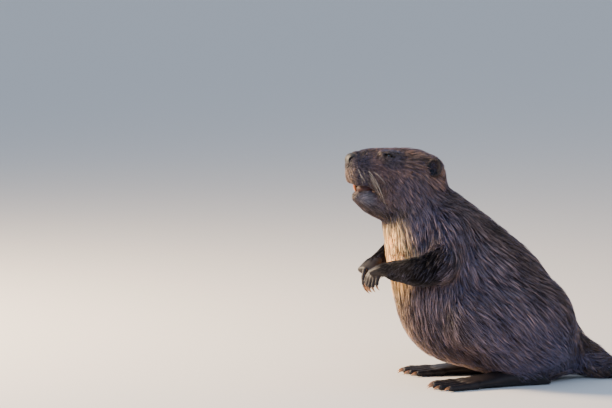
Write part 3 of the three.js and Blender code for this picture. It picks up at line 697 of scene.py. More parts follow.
def marking(p):
    """The coat's colour where a hair is rooted at p."""
    x, _, z = p.T
    turn = np.abs(torso.around(p)[1])
    under = turn - (TURN["front"] + TURN["lower_front"] * smoothstep(245, 140, z))
    colour = blend(COAT["back"], COAT["flank"], smoothstep(TURN["back"], TURN["flank"], turn))
    # the pale front darkens to the belly's colour low down: painted sunlight above, painted shade below, over
    # a lighter underside
    front = blend(COAT["front"], COAT["belly"], smoothstep(230, 130, z))
    colour = blend(colour, front, smoothstep(0, TURN["front_fade"], under))
    # the head's top in the crown's colour, partly painted warm rim light, turning to the cheeks' colour lower
    # down
    face = blend(COAT["crown"], COAT["cheek"], smoothstep(385, 350, z) * smoothstep(-170, -200, x))
    # darker low on the head: painted shade under the jaw
    face = blend(face, COAT["throat"], smoothstep(335, 305, z))
    face = blend(face, COAT["muzzle"], smoothstep(-262, -288, x))
    # the muzzle's front, paler: partly its own colour, partly painted sunlight
    face = blend(face, COAT["snout"], smoothstep(-296, -306, x) * smoothstep(384, 372, z))
    face = blend(face, COAT["lip"], smoothstep(7, -8, lip_patch.distance(p)) * smoothstep(342, 336, z))
    # darker round the eye, out over the brow bump: partly its own colour, partly painted shade
    face = blend(face, COAT["brow"], smoothstep(29, 13, from_eye(p)))
    colour = blend(colour, face, smoothstep(0, 22, past_neck(p)))
    past_trunk, past_arm = past_skin(p)
    # the arms' near-black coat: partly their own dark fur, partly painted shade
    return blend(colour, COAT["arm"], smoothstep(-2, 14, past_trunk - past_arm) * smoothstep(-130, -175, x))


def skin_colour(p):
    """The skin's colour, darkened where it is haired, and how bare and moist it is, from 0 to 1."""
    x = p[:, 0]
    bare = smoothstep(-2, 4, bareness(p))
    colour = blend(marking(p) * 0.6, SKIN["bare"], bare)
    colour = blend(colour, SKIN["tail"], smoothstep(145, 165, x))
    opening = mouth.distance(p)
    colour = blend(colour, SKIN["lips"], smoothstep(5, 1.5, opening))
    # near-black red inside the mouth: partly its own colour, partly painted shade
    colour = blend(colour, SKIN["mouth"], smoothstep(1.2, 0.2, opening) * smoothstep(-302, -292, x))
    colour = blend(colour, SKIN["lids"], smoothstep(3.2, 1.2, eye_opening(p)[0]))
    return colour, np.maximum(bare, 0.4 * smoothstep(4, 1, opening))


# ---- Materials ----


class Shader:
    """A node material on one Principled BSDF; constants go straight onto its sockets."""

    def __init__(self, name, **settings):
        self.material = bpy.data.materials.new(name)
        self.material.use_nodes = True
        self.tree = self.material.node_tree
        self.surface = self.tree.nodes["Principled BSDF"]
        for key, value in settings.items():
            self.surface.inputs[key.replace("_", " ")].default_value = value

    def add(self, kind, inputs, **settings):
        """A node of this kind, its inputs linked to other nodes' outputs or set to values."""
        node = self.tree.nodes.new("ShaderNode" + kind)
        for key, value in settings.items():
            setattr(node, key, value)
        for key, value in inputs.items():
            if isinstance(value, bpy.types.NodeSocket):
                self.tree.links.new(value, node.inputs[key])
            else:
                node.inputs[key].default_value = value
        return node

    def feed(self, socket, output):
        self.tree.links.new(output, self.surface.inputs[socket])

    def attribute(self, name, output="Fac"):
        """What is painted on the mesh under this name."""
        return self.add("Attribute", {}, attribute_name=name).outputs[output]

    def noise(self, scale, detail=3, **options):
        place = self.add("TexCoord", {}).outputs["Object"]
        inputs = {"Vector": place, "Scale": scale, "Detail": detail, **options}
        return self.add("TexNoise", inputs).outputs["Fac"]

    def cells(self, scale, feature="F1"):
        place = self.add("TexCoord", {}).outputs["Object"]
        return self.add("TexVoronoi", {"Vector": place, "Scale": scale}, feature=feature).outputs["Distance"]

    def ranged(self, value, low, high, start=0.0, end=1.0):
        """The value, mapped from start and end to low and high."""
        inputs = {"Value": value, "From Min": start, "From Max": end, "To Min": low, "To Max": high}
        return self.add("MapRange", inputs).outputs["Result"]

    def mottled(self, scale, detail, low, high):
        """A noise that reaches from low to high."""
        return self.ranged(self.noise(scale, detail), low, high, 0.3, 0.7)

    def combined(self, a, b, operation):
        return self.add("Math", {0: a, 1: b}, operation=operation).outputs["Value"]

    def bump(self, height, depth, strength, **under):
        inputs = {"Height": height, "Distance": depth * MM, "Strength": strength, **under}
        return self.add("Bump", inputs).outputs["Normal"]

    def grain(self, scale, detail, depth, strength, **under):
        """Bumps the surface with a noise, over any bump that is given."""
        self.feed("Normal", self.bump(self.noise(scale, detail), depth, strength, **under))

    def painted(self, variation):
        """Colours the surface as the mesh is painted, multiplied by a varying brightness."""
        inputs = {0: self.attribute("paint", "Color"), 1: variation}
        self.feed("Base Color", self.add("VectorMath", inputs, operation="MULTIPLY").outputs["Vector"])

    def ramped(self, value, *stops):
        """Colours the surface by a value, through stops of place and colour."""
        ramp = self.add("ValToRGB", {"Fac": value})
        elements = ramp.color_ramp.elements
        for _ in stops[2:]:
            elements.new(1)
        for element, (place, colour) in zip(elements, stops):
            element.position, element.color = place, (*colour, 1)
        self.feed("Base Color", ramp.outputs["Color"])


def hide(name, mottle, grain, **settings):
    """A shader with a mottled coat of paint on a grained surface."""
    shader = Shader(name, **settings)
    shader.painted(shader.mottled(*mottle))
    shader.grain(*grain)
    return shader


def ear_material():
    look = dict(Roughness=0.6, Specular_IOR_Level=0.12)
    return hide("ear", (350, 4, 0.7, 1.3), (1200, 4, 0.3, 0.7), **look).material


def coat_material():
    """Hair that shines the more, the paler it is."""
    look = dict(Roughness=0.4, Sheen_Roughness=0.35, Sheen_Tint=(0.45, 0.5, 1.0, 1))
    shader = hide("coat", (900, 2, 0.7, 1.3), (1500, 1, 0.25, 0.5), **look)
    tone = shader.add("RGBToBW", {"Color": shader.attribute("paint", "Color")}).outputs["Val"]
    shader.feed("Specular IOR Level", shader.ranged(tone, 0.04, 0.5, 0.006, 0.06))
    shader.feed("Sheen Weight", shader.ranged(tone, 0.0, 0.42, 0.01, 0.05))
    return shader.material


def skin_material():
    """Mottled skin, smoother and creased where it is bare."""
    shader = Shader("skin", Specular_IOR_Level=0.3)
    shader.painted(shader.mottled(120, 4, 0.75, 1.25))
    bare = shader.attribute("bare")
    shader.feed("Roughness", shader.ranged(bare, 0.75, 0.52))
    wrinkles = shader.ranged(shader.cells(520, "DISTANCE_TO_EDGE"), 0, 1, 0, 0.12)
    creased = shader.bump(shader.combined(wrinkles, bare, "MULTIPLY"), 0.15, 0.5)
    shader.grain(700, 2, 0.25, 0.4, Normal=creased)
    return shader.material


def horn_material(name, dark, light, reach):
    """Horn that lightens towards its tips, where the painted share is 1."""
    shader = Shader(name, Roughness=0.32, Specular_IOR_Level=0.5, Coat_Weight=0.25, Coat_Roughness=0.15)
    streaks = shader.ranged(shader.noise(700, 3, Distortion=1.5), -0.12, 0.12)
    shader.ramped(shader.combined(shader.attribute("share"), streaks, "ADD"), (0, dark), (reach, light))
    shader.grain(1600, 2, 0.1, 0.4)
    return shader.material


def eye_material():
    """A black pupil in a brown iris that darkens to its rim, by the share of the way to the back."""
    shader = Shader("eye", Roughness=0.05, Specular_IOR_Level=0.35, Coat_Weight=0.2, Coat_Roughness=0.02)
    pupil, iris, rim = (0.002, 0.002, 0.002), (0.035, 0.018, 0.009), (0.012, 0.007, 0.005)
    shader.ramped(shader.attribute("share"), (0.13, pupil), (0.17, iris), (0.36, rim))
    return shader.material


def nose_material():
    """Dark pebbled leather."""
    shader = Shader("nose", Specular_IOR_Level=0.4)
    pebbles = shader.cells(900)
    shader.painted(shader.mottled(300, 3, 0.75, 1.3))
    shader.feed("Roughness", shader.ranged(pebbles, 0.48, 0.62))
    shader.feed("Normal", shader.bump(pebbles, -0.35, 0.7))
    return shader.material


def whisker_material():
    shader = Shader("whisker", Roughness=0.35, Specular_IOR_Level=0.4)
    shader.painted(shader.ranged(shader.noise(400), 0.8, 1.2))
    return shader.material


def scale_material():
    shader = hide("tail", (260, 4, 0.7, 1.35), (1100, 3, 0.2, 0.6), Specular_IOR_Level=0.35)
    shader.feed("Roughness", shader.mottled(180, 2, 0.44, 0.7))
    return shader.material


# ---- Pieces ----


def new_object(name, data):
    item = bpy.data.objects.new(name, data)
    bpy.context.scene.collection.objects.link(item)
    return item


def add_piece(name, points, faces, material, slot, replaces=()):
    """A mesh piece from points in millimetres and faces with equally many corners each."""
    mesh = bpy.data.meshes.new(name)
    mesh.vertices.add(len(points))
    mesh.vertices.foreach_set("co", (np.asarray(points) * MM).astype(np.float32).ravel())
    faces = np.asarray(faces, np.int32)
    mesh.loops.add(faces.size)
    mesh.loops.foreach_set("vertex_index", faces.ravel())
    mesh.polygons.add(len(faces))
    mesh.polygons.foreach_set("loop_start", np.arange(len(faces), dtype=np.int32) * faces.shape[1])
    mesh.polygons.foreach_set("use_smooth", np.ones(len(faces), bool))
    mesh.update(calc_edges=True)
    mesh.materials.append(material)
    piece = new_object(name, mesh)
    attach(piece, "root")
    if replaces:
        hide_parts(*replaces)
    return piece


def paint(piece, colours, name="paint"):
    """Stores a colour or a number for each of the piece's points."""
    colours = np.asarray(colours, np.float32)
    if colours.ndim == 1:
        piece.data.attributes.new(name, "FLOAT", "POINT").data.foreach_set("value", colours)
        return
    rgba = np.column_stack([colours, np.ones(len(colours), np.float32)])
    piece.data.attributes.new(name, "FLOAT_COLOR", "POINT").data.foreach_set("color", rgba.ravel())


def joined(shapes):
    """Several shapes, of points and faces, as one."""
    points, faces = zip(*shapes)
    starts = np.cumsum([0] + [len(part) for part in points[:-1]])
    return np.vstack(points), np.vstack([part + start for part, start in zip(faces, starts)])


def add_shared(name, shapes, material, slot, replaces):
    """One piece of several shapes, of points, faces and the share painted on each point."""
    points, faces, shares = zip(*shapes)
    piece = add_piece(name, *joined(zip(points, faces)), material, slot, replaces)
    paint(piece, np.concatenate(shares), "share")


FLESH = ["head", "jaw", "neck", "chest", "rump", "tail_root", "tail"]
FLESH += [f"{part}_{side}" for part in ("thigh", "foreleg", "hand", "foot") for side in SIDES]


def skin_lattice():
    """The places along each axis, the same on both sides of the animal."""
    coarse = 1
    grids = {name: lattice(*[(a, b, step * coarse) for a, b, step in BANDS[name]]) for name in BANDS}
    return grids["along"], np.concatenate([-grids["out"][:0:-1], grids["out"]]), grids["up"]


def add_skin():
    points, quads = net(skin_distance, skin_lattice())
    skin = add_piece("skin", points, quads, skin_material(), "skin", FLESH)
    colour, bare = skin_colour(points)
    paint(skin, colour)
    paint(skin, bare, "bare")
    return skin


# ---- Coat: solid tufts rooted on the skin ----

CHIN = vec(-300, 0, 326)  # the middle of the whorl there


def lie(p, normal):
    """The way the hair lies at each place: towards the tail, down the neck and chest, along the limbs."""
    x, y, z = p.T
    flows = [(form, -1) for form in (torso, skull, jaw)]  # their spines run towards the nose
    flows += [(form, 1) for form in (tail_root, shank, *arm_parts)]
    gaps = [form.distance(p) for form, _ in flows]
    nearest = np.min(gaps, axis=0)
    way = sum(np.exp(-(gap - nearest) / 12)[:, None] * (form.tangent(p) * sign)
              for gap, (form, sign) in zip(gaps, flows))
    cheek = smoothstep(-285, -240, x) * smoothstep(-150, -190, x) * smoothstep(395, 360, z)
    chin = smoothstep(22, 9, np.linalg.norm(p - CHIN, axis=1))
    way = unit(way) + vec(0, 0, -0.9) * (cheek + 1.4 * chin)[:, None]
    sway = 0.05 * (np.sin(x / 17 + np.sin(z / 23) * 1.7) * np.sin(z / 14 + y / 19))
    way += np.cross(normal, way) * sway[:, None]
    way -= normal * (way * normal).sum(1, keepdims=True)
    return unit(way)


def coat_length(p):
    """Lengths of the hairs rooted at each place, in millimetres: short on the face, long on the trunk."""
    x, _, z = p.T
    length = LENGTH["trunk"] - LENGTH["neck_less"] * smoothstep(255, 335, z)
    length = mixed(length, LENGTH["face"], smoothstep(-185, -290, x) * smoothstep(300, 325, z))
    length = mixed(length, LENGTH["tail_root"], smoothstep(90, 158, x))
    to_arm = np.min([part.distance(p) for part in arm_parts], axis=0)
    arm = LENGTH["arm"] - LENGTH["wrist_less"] * smoothstep(-180, -245, x)
    length = mixed(length, arm, smoothstep(8, -6, to_arm) * smoothstep(-130, -170, x))
    length = mixed(length, LENGTH["low_leg"], low_on_leg(p, 60))
    to_lids = np.maximum(from_eye(p) - EYE["lids"], 0)
    return np.minimum(length, LENGTH["at_lids"] + LENGTH["growing"] * to_lids)


def coat_height(p):
    """How far the tips stand above the skin: up to the coat's surface, and no further."""
    to_arm, to_trunk = arm_form.distance(p), trunk_form.distance(p)
    on_arm = smoothstep(-8, 8, to_trunk + coat_depth(p) - to_arm - arm_depth(p))
    height = mixed(coat_depth(p), arm_depth(p), on_arm)
    return np.clip(-np.minimum(to_arm, to_trunk), 0.7, height)


def tuft_width(length):
    return np.clip(TUFT["slender"] * length, TUFT["narrowest"], TUFT["widest"])


def of_kind(guard, key):
    """One of GUARD's values for the guard hairs, and of UNDER's for the others."""
    return np.where(guard, GUARD[key], UNDER[key])


def hairiness(p):
    """1 where the coat grows, 0 on bare skin, lips, nose and lids."""
    grows = 1 - smoothstep(-4, 13, bareness(p)) ** 0.4
    grows *= smoothstep(1, 2.5, mouth.distance(p)) * smoothstep(1, 2, eye_opening(p)[0])
    return grows * (nose.distance(p) > -1)


def read(items, key, kind=np.float32):
    """Three numbers for each of a mesh's items."""
    values = np.empty(len(items) * 3, kind)
    items.foreach_get(key, values)
    return values.reshape(-1, 3)


class Surface:
    """A piece's mesh: random places on it, and the nearest place to any point."""

    def __init__(self, piece):
        mesh = piece.data
        mesh.calc_loop_triangles()
        self.points = read(mesh.vertices, "co").astype(float) / MM
        self.normals = read(mesh.vertex_normals, "vector").astype(float)
        self.faces = read(mesh.loop_triangles, "vertices", np.int32)
        self.tree = BVHTree.FromPolygons(self.points.tolist(), self.faces.tolist())

    def scatter(self, density):
        """Random places, so many to the square millimetre at each corner, and the normals there."""
        a, b, c = (self.points[self.faces[:, i]] for i in range(3))
        area = np.linalg.norm(np.cross(b - a, c - a), axis=1) / 2
        expected = area * density[self.faces].mean(1)
        count = np.floor(expected + rng.random(len(expected))).astype(int)
        corners = self.faces[np.repeat(np.arange(len(count)), count)]
        share = rng.dirichlet((1, 1, 1), len(corners))[:, :, None]
        return (self.points[corners] * share).sum(1), unit((self.normals[corners] * share).sum(1))

    def lifted(self, points, height):
        """The points put at this height above the nearest place on the surface, and the normals there."""
        found = [self.tree.find_nearest(point)[:2] for point in points.tolist()]
        places = np.array([place for place, _ in found])
        normals = np.array([normal for _, normal in found])
        return places + normals * height[:, None], normals


def tuft_paths(surface, roots, normals, way, length, rise, rings):
    """Each tuft's middle line, lying along the surface as it rises, and which way is out at each ring."""
    paths, outs = [roots - normals * TUFT["buried"]], [normals]
    for t in np.linspace(0, 1, rings + 1)[1:]:
        height = rise * (1 - (1 - t) ** TUFT["rise"])
        place, out = surface.lifted(roots + way * (length * t)[:, None], height)
        paths.append(place)
        outs.append(out)
    return np.stack(paths, 1), np.stack(outs, 1)


def clumped(paths, pull):
    """Draws each tuft's tip towards that of its clump, as in a damp coat; gives each one's clump too."""
    count = len(paths)
    leaders = rng.permutation(count)[: max(1, count // CLUMP["tufts"])]
    tree = KDTree(len(leaders))
    for i, root in enumerate(paths[leaders, 0].tolist()):
        tree.insert(root, i)
    tree.balance()
    own = np.array([tree.find(root)[1] for root in paths[:, 0].tolist()])
    t = np.linspace(0, 1, paths.shape[1])[None, :, None]
    apart = np.linalg.norm(paths[leaders[own], 0] - paths[:, 0], axis=1)
    strength = pull * rng.uniform(0.5, 1, count) * smoothstep(CLUMP["far"], CLUMP["near"], apart)
    return paths + (paths[leaders[own]] - paths) * strength[:, None, None] * t ** CLUMP["curve"], own


def blade_pattern(rings):
    """The triangles of one closed blade, and the place of each of their corners on its patch of the map."""
    at = lambda ring, corner: (ring * 3 + corner % 3, (corner / 3, ring / rings))
    faces = []
    for i in range(3):
        for ring in range(rings - 1):
            a, b, c, d = at(ring, i), at(ring, i + 1), at(ring + 1, i + 1), at(ring + 1, i)
            faces += [(a, b, c), (a, c, d)]
        tip = rings * 3, ((i + 0.5) / 3, 1)
        faces.append((at(rings - 1, i), at(rings - 1, i + 1), tip))
    faces.append([(2, (0.3, 0)), (1, (0.15, 0.1)), (0, (0, 0))])  # its foot
    numbers = np.array([[corner[0] for corner in face] for face in faces])
    return numbers, np.array([[corner[1] for corner in face] for face in faces], float)


def add_tufts(name, paths, outs, width, colour, on_map, material):
    """One piece of closed blades with triangular sections, widest below the middle and pointed at the tip."""
    count, stations = paths.shape[:2]
    rings = stations - 1
    along = unit(np.gradient(paths, axis=1))[:, :rings]
    side = unit(np.cross(along, outs[:, :rings]))
    size = width[:, None, None] * np.interp(np.arange(rings) / rings, *TUFT["profile"])[:, None]
    middle = paths[:, :rings]
    ridge = middle + np.cross(side, along) * size * TUFT["thick"]
    corners = np.stack([middle - side * size / 2, middle + side * size / 2, ridge], 2)
    points = np.concatenate([corners.reshape(count, -1, 3), paths[:, rings:]], 1)
    pattern, places = blade_pattern(rings)
    faces = pattern + np.arange(count)[:, None, None] * points.shape[1]
    piece = add_piece(name, points.reshape(-1, 3), faces.reshape(-1, 3), material, "coat")
    t = np.append(np.repeat(np.arange(rings), 3), rings) / rings
    # darker roots and lighter tips: partly the hair's own colour, partly painted shade in the coat and
    # painted wet highlights
    shade = np.interp(t, *TUFT["shade"])
    paint(piece, (colour[:, None] * shade[None, :, None]).reshape(-1, 3))
    put_on_map(piece, on_map[:, None, None], places)


def put_on_map(piece, roots, places):
    """Lays each hair on its own patch of the map, at its root; places are its corners' on that patch."""
    uv = roots * (1 - PATCH) + places * PATCH
    piece.data.uv_layers.new(name="OFBake").data.foreach_set("uv", uv.astype(np.float32).ravel())


REGIONS = dict(trunk=torso, tail=tail_root, head=skull, arm_left=arms[LEFT][1], arm_right=arms[RIGHT][1])


def region_of(p):
    """The name of the region that each place belongs to."""
    x, y, z = p.T
    past_trunk, past_arm = past_skin(p)
    name = np.full(len(p), "trunk", dtype="U9")
    name[x > 78] = "tail"
    name[past_neck(p) > 0] = "head"
    on_arm = (past_arm < past_trunk) & (x < -140) & (z < 290)
    name[on_arm & (y < 0)] = "arm_left"
    name[on_arm & (y > 0)] = "arm_right"
    return name


def unwrapped(p, sweep):
    """Places on the map: across it round the sweep's spine, and up it along the spine."""
    share, turn = sweep.around(p)
    return np.column_stack([turn / (2 * math.pi) + 0.5, share])


def spread(places):
    """The places moved and scaled to fill the map."""
    low, high = places.min(0), places.max(0)
    return (places - low) / np.maximum(high - low, 1e-6)


def add_coat(surface, material):
    """The coat, in pieces that each take in one stretch of a region."""
    length = in_pieces(coat_length, surface.points)
    coverage = TUFT["coverage"]
    density = coverage / (length * tuft_width(length)) * in_pieces(hairiness, surface.points)
    roots, normals = surface.scatter(density)
    region = in_pieces(region_of, roots)
    length = in_pieces(coat_length, roots)
    long = length >= TUFT["three_rings"]
    for name, sweep in REGIONS.items():
        for kind, rings, chosen in (("long", 3, long), ("short", 2, ~long)):
            mine = np.flatnonzero((region == name) & chosen)
            mine = mine[np.argsort(unwrapped(roots[mine], sweep)[:, 1])]
            pieces = math.ceil(len(mine) * (6 * rings - 2) / MOST_FACES)
            for i, part in enumerate(np.array_split(mine, pieces)):
                on_map = spread(unwrapped(roots[part], sweep))
                add_coat_piece(f"coat_{name}_{kind}_{i + 1}", surface, roots[part], normals[part],
                               length[part], rings, on_map, material)


def add_coat_piece(name, surface, roots, normals, length, rings, on_map, material):
    count = len(roots)
    guard = rng.random(count) < GUARD["share"]
    width = tuft_width(length) * rng.uniform(0.8, 1.2, count) * of_kind(guard, "wide")
    length = length * rng.uniform(0.75, 1.15, count) * of_kind(guard, "long")
    lower = UNDER["high"] - UNDER["lower"] * rng.random(count) ** 1.6
    rise = in_pieces(coat_height, roots) * np.where(guard, GUARD["high"], lower)
    way = in_pieces(lambda both: lie(both[:, :3], both[:, 3:]), np.hstack([roots, normals]))
    way = unit(way + np.cross(normals, way) * rng.normal(0, SPREAD["way"], (count, 1)))
    paths, outs = tuft_paths(surface, roots, normals, way, length, rise, rings)
    steps = np.linalg.norm(np.diff(paths, axis=1), axis=2).max(1)
    whole = steps < length / rings + rise + 1.5  # the rest leapt from one part of the skin to another
    parts = paths, outs, roots, width, guard, on_map
    paths, outs, roots, width, guard, on_map = (part[whole] for part in parts)
    count = len(roots)
    paths, clump = clumped(paths, CLUMP["long_pull" if rings == 3 else "short_pull"])
    paths[..., 2] = np.maximum(paths[..., 2], TUFT["lowest"])
    tone = rng.lognormal(0, SPREAD["tone"], count)
    tone = tone * rng.lognormal(0, SPREAD["clump_tone"], clump.max() + 1)[clump]
    colour = in_pieces(marking, roots) * (tone * of_kind(guard, "tone"))[:, None]
    add_tufts(name, paths, outs, width, colour, on_map, material)


# ---- Eyes, nose, ears, teeth, claws, whiskers and scales ----

TUBE_SIDES, EYE_SIDES = 12, 24


def outward(points, faces):
    """The faces of a closed shape, turned over if they face inwards."""
    a, b, c = (points[faces[:, i]] for i in range(3))
    volume = (a * np.cross(b, c)).sum()
    return faces if volume > 0 else faces[:, ::-1]


def circle(sides):
    """Evenly spaced angles round a circle."""
    return np.arange(sides) / sides * 2 * math.pi


def tube(places, sizes, above, sides=TUBE_SIDES, flat=0.0):
    """Rings round a line of places, each with its half-width and half-height, with a point at each end."""
    along = unit(np.gradient(places, axis=0))
    side = unit(np.cross(along, above))
    up = np.cross(side, along)
    turn = circle(sides)
    high = np.where(np.sin(turn) < 0, 1 - flat, 1) * np.sin(turn)
    ring = np.cos(turn)[None, :, None] * (side * sizes[:, :1])[:, None]
    ring = ring + high[None, :, None] * (up * sizes[:, 1:2])[:, None]
    ends = [places[i] + sign * along[i] * sizes[i].min() * 0.6 for i, sign in ((0, -1), (-1, 1))]
    return closed(places[:, None] + ring, ends)


def closed(rings, ends):
    """The points and faces of a shape through equal rings, with a point at each end."""
    points = np.vstack([rings.reshape(-1, 3), ends])
    return points, outward(points, tube_faces(*rings.shape[:2]))


def tube_faces(rings, sides):
    faces = []
    first, last, top = rings * sides, rings * sides + 1, (rings - 1) * sides
    for i in range(sides):
        j = (i + 1) % sides
        for ring in range(0, top, sides):
            a, b, c, d = ring + i, ring + j, ring + sides + j, ring + sides + i
            faces += [(a, d, c), (a, c, b)]
        faces += [(first, i, j), (last, top + j, top + i)]
    return np.array(faces)


def claw_shape(tip, heading, bend, digit):
    """A claw rooted in its digit's tip, curving down to a point, where the share is 1."""
    t = np.linspace(0, 1, CLAW["rings"])
    run = CLAW["clear"] + digit["claw"] * t * (1 - CLAW["slowing"] * t)
    run[0] = -CLAW["buried"]
    drop = digit["claw"] * digit["droop"] * t**2
    places = tip + heading * run[:, None] + bend * drop[:, None]
    radius = digit["claw_size"] * (1 - t ** CLAW["taper"]) + CLAW["point"]
    shape = tube(places, np.column_stack([radius * CLAW["narrow"], radius]), -bend, flat=CLAW["flat"])
    return *shape, np.append(np.repeat(t, TUBE_SIDES), (0, 1))


def add_claws():
    material = horn_material("claw", (0.055, 0.028, 0.015), (0.44, 0.18, 0.055), 0.85)
    for side_name, side in SIDES.items():
        for limb, tips, digit in (("hand", hands[side][1], FINGER), ("foot", feet[side][1], TOE)):
            nodes = [f"claw_{limb}_{side_name}_{i + 1}" for i in range(len(tips))]
            shapes = [claw_shape(*tip, digit) for tip in tips]
            add_shared(f"claws_{limb}_{side_name}", shapes, material, "claw", nodes)


def tooth_shape(spec, across):
    """An incisor: a rounded bar along an arc, its end ground to an edge; the share is 1 on its outer face."""
    rings = TOOTH["rings"]
    centre = vec(spec["x"], across, spec["z"])
    turn = np.radians(np.linspace(spec["start"], spec["end"], rings))
    thick = TOOTH["thick"] * np.interp(np.linspace(0, 1, rings), *TOOTH["ground"])
    out = np.stack([np.cos(turn), np.zeros(rings), np.sin(turn)], 1)
    corner = circle(TUBE_SIDES)
    square = lambda wave: np.sign(wave) * np.abs(wave) ** TOOTH["square"]
    wide, deep = square(np.sin(corner)), (square(np.cos(corner)) - 1) / 2
    reach = spec["radius"] + deep[None, :] * thick[:, None]
    points = centre + out[:, None] * reach[:, :, None]
    points = points + vec(0, 1, 0) * (wide * TOOTH["pair"] * TOOTH["half"])[None, :, None]
    shape = closed(points, [points[0].mean(0), points[-1].mean(0)])
    return *shape, np.append(np.tile(deep + 1, rings), (0.5, 0.5))


def add_teeth():
    material = horn_material("enamel", (0.42, 0.17, 0.038), (0.36, 0.078, 0.006), 0.62)
    for name, spec in (("incisors_upper", UPPER_TEETH), ("incisors_lower", LOWER_TEETH)):
        shapes = [tooth_shape(spec, side * TOOTH["pair"] * TOOTH["apart"]) for side in (LEFT, RIGHT)]
        add_shared(f"pair_{name}", shapes, material, "tooth", [name])


def add_eyes():
    """Round eyes with a slightly bulging cornea; the share runs from the pupil's middle to the back."""
    material = eye_material()
    angles = np.linspace(0.02, math.pi - 0.02, 26)
    radius = EYE["radius"] * (1 + CORNEA["bulge"] * smoothstep(CORNEA["edge"], CORNEA["full"], angles))
    share = np.append(np.repeat(angles / math.pi, EYE_SIDES), (0, 1))
    turn = circle(EYE_SIDES)
    for name, side in SIDES.items():
        out = EYE_OUT * (1, side, 1)
        across = unit(np.cross(out, vec(0, 0, 1)))
        ring = np.cos(turn)[None, :, None] * across + np.sin(turn)[None, :, None] * np.cross(across, out)
        places = EYE["at"] * (1, side, 1) + out * (radius * np.cos(angles))[:, None]
        rings = places[:, None] + ring * (radius * np.sin(angles))[:, None, None]
        shape = closed(rings, [places[0], places[-1]])
        add_shared(f"eyeball_{name}", [(*shape, share)], material, "eye", [f"eye_{name}"])


def nose_distance(p):
    """A rounded pad, furrowed down its middle, with a comma-shaped nostril on each side."""
    pad = smooth_min(nose.distance(p), nose_wing.distance(p), 5)
    pad = carved(pad, smooth_min(nostril.distance(p), nostril_slit.distance(p), 2), 1.5)
    return carved(pad, nose_furrow.distance(p), 1.5)


def add_nose():
    low, high = nose.centre - (16, 24, 17), nose.centre + (14, 24, 17)
    step = NET["nose"]
    points, quads = net(nose_distance, [lattice((a, b, step)) for a, b in zip(low, high)])
    piece = add_piece("nose_pad", points, quads, nose_material(), "nose", ["nose"])
    # near-black in the nostrils: painted shade in the holes
    paint(piece, blend(SKIN["nose"], SKIN["nostril"], smoothstep(1.5, -0.5, nostril.distance(points))))


def ear_frame(side):
    """The axes of an ear: the way its hollow faces, along its width, and up its height."""
    lean = Matrix.Rotation(math.radians(EAR["lean"]), 3, "Y")
    turn = Matrix.Rotation(math.radians(-side * EAR["turn"]), 3, "Z")
    return np.array(turn @ lean).T * vec(-1, 1, 1)[:, None]


def in_ear(p, side):
    """The places in an ear's own axes."""
    return (p - EAR["at"] * (1, side, 1)) @ ear_frame(side).T


def to_ear_rim(local):
    """How far out from the ear's middle each place is, 1 at its rim."""
    return np.hypot(local[:, 1] * 2 / EAR["width"], local[:, 2] * 2 / EAR["height"])


def ear_distance(p, side):
    """A rounded flap with a thick rim, hollowed in front, with a fold low in the hollow."""
    local = in_ear(p, side)
    wide, high, thick = EAR["width"] / 2, EAR["height"] / 2, EAR["thick"] / 2
    flap = section_distance(local, vec(thick, wide, high))
    hollow = section_distance(local - vec(thick * 0.85, 0, 1.2), vec(thick * 1.15, wide - 3, high - 3.4))
    fold = section_distance(local - vec(0.5, 1.5, -high * 0.55), vec(2.6, 5.5, 4.5))
    return smooth_min(carved(flap, hollow, 2), fold, 2.5)


def add_ears(fur):
    material = ear_material()
    step = NET["ear"]
    for name, side in SIDES.items():
        axes = [lattice((c - r, c + r, step)) for c, r in zip(EAR["at"] * (1, side, 1), (20, 20, 27))]
        points, quads = net(lambda p: ear_distance(p, side), axes)
        piece = add_piece(f"ear_flap_{name}", points, quads, material, "skin", [f"ear_{name}"])
        local = in_ear(points, side)
        # darker in the hollow: partly its own dark skin, partly painted shade
        colour = blend(SKIN["ear"], SKIN["ear_inside"], smoothstep(-1, 2, local[:, 0]))
        paint(piece, blend(colour, SKIN["ear_rim"], smoothstep(0.72, 0.98, to_ear_rim(local)) * 0.8))
        add_ear_fur(name, side, Surface(piece), fur)


def add_ear_fur(name, side, surface, fur):
    """Short hairs on an ear's back, on its rim and thinly in its hollow, lying towards its top."""
    local = in_ear(surface.points, side)
    share = np.clip(smoothstep(1, -1, local[:, 0]) + smoothstep(0.8, 1, to_ear_rim(local)), 0.2, 1)
    roots, normals = surface.scatter(EAR_FUR["density"] * share)
    count = len(roots)
    facing, _, up = ear_frame(side)
    way = up - 0.3 * facing + rng.normal(0, EAR_FUR["stray"], (count, 3))
    way = unit(way - normals * (way * normals).sum(1, keepdims=True))
    length, rise = rng.uniform(*EAR_FUR["length"], count), rng.uniform(*EAR_FUR["rise"], count)
    paths, outs = tuft_paths(surface, roots, normals, way, length, rise, 2)
    local = in_ear(roots, side)
    on_map = spread(np.column_stack([np.arctan2(local[:, 1], local[:, 0]), local[:, 2]]))
    colour = blend(SKIN["ear"], COAT["crown"], rng.uniform(0, 0.5, count))
    width = rng.uniform(*EAR_FUR["width"], count)
    add_tufts(f"coat_ear_{name}", paths, outs, width, colour, on_map, fur)


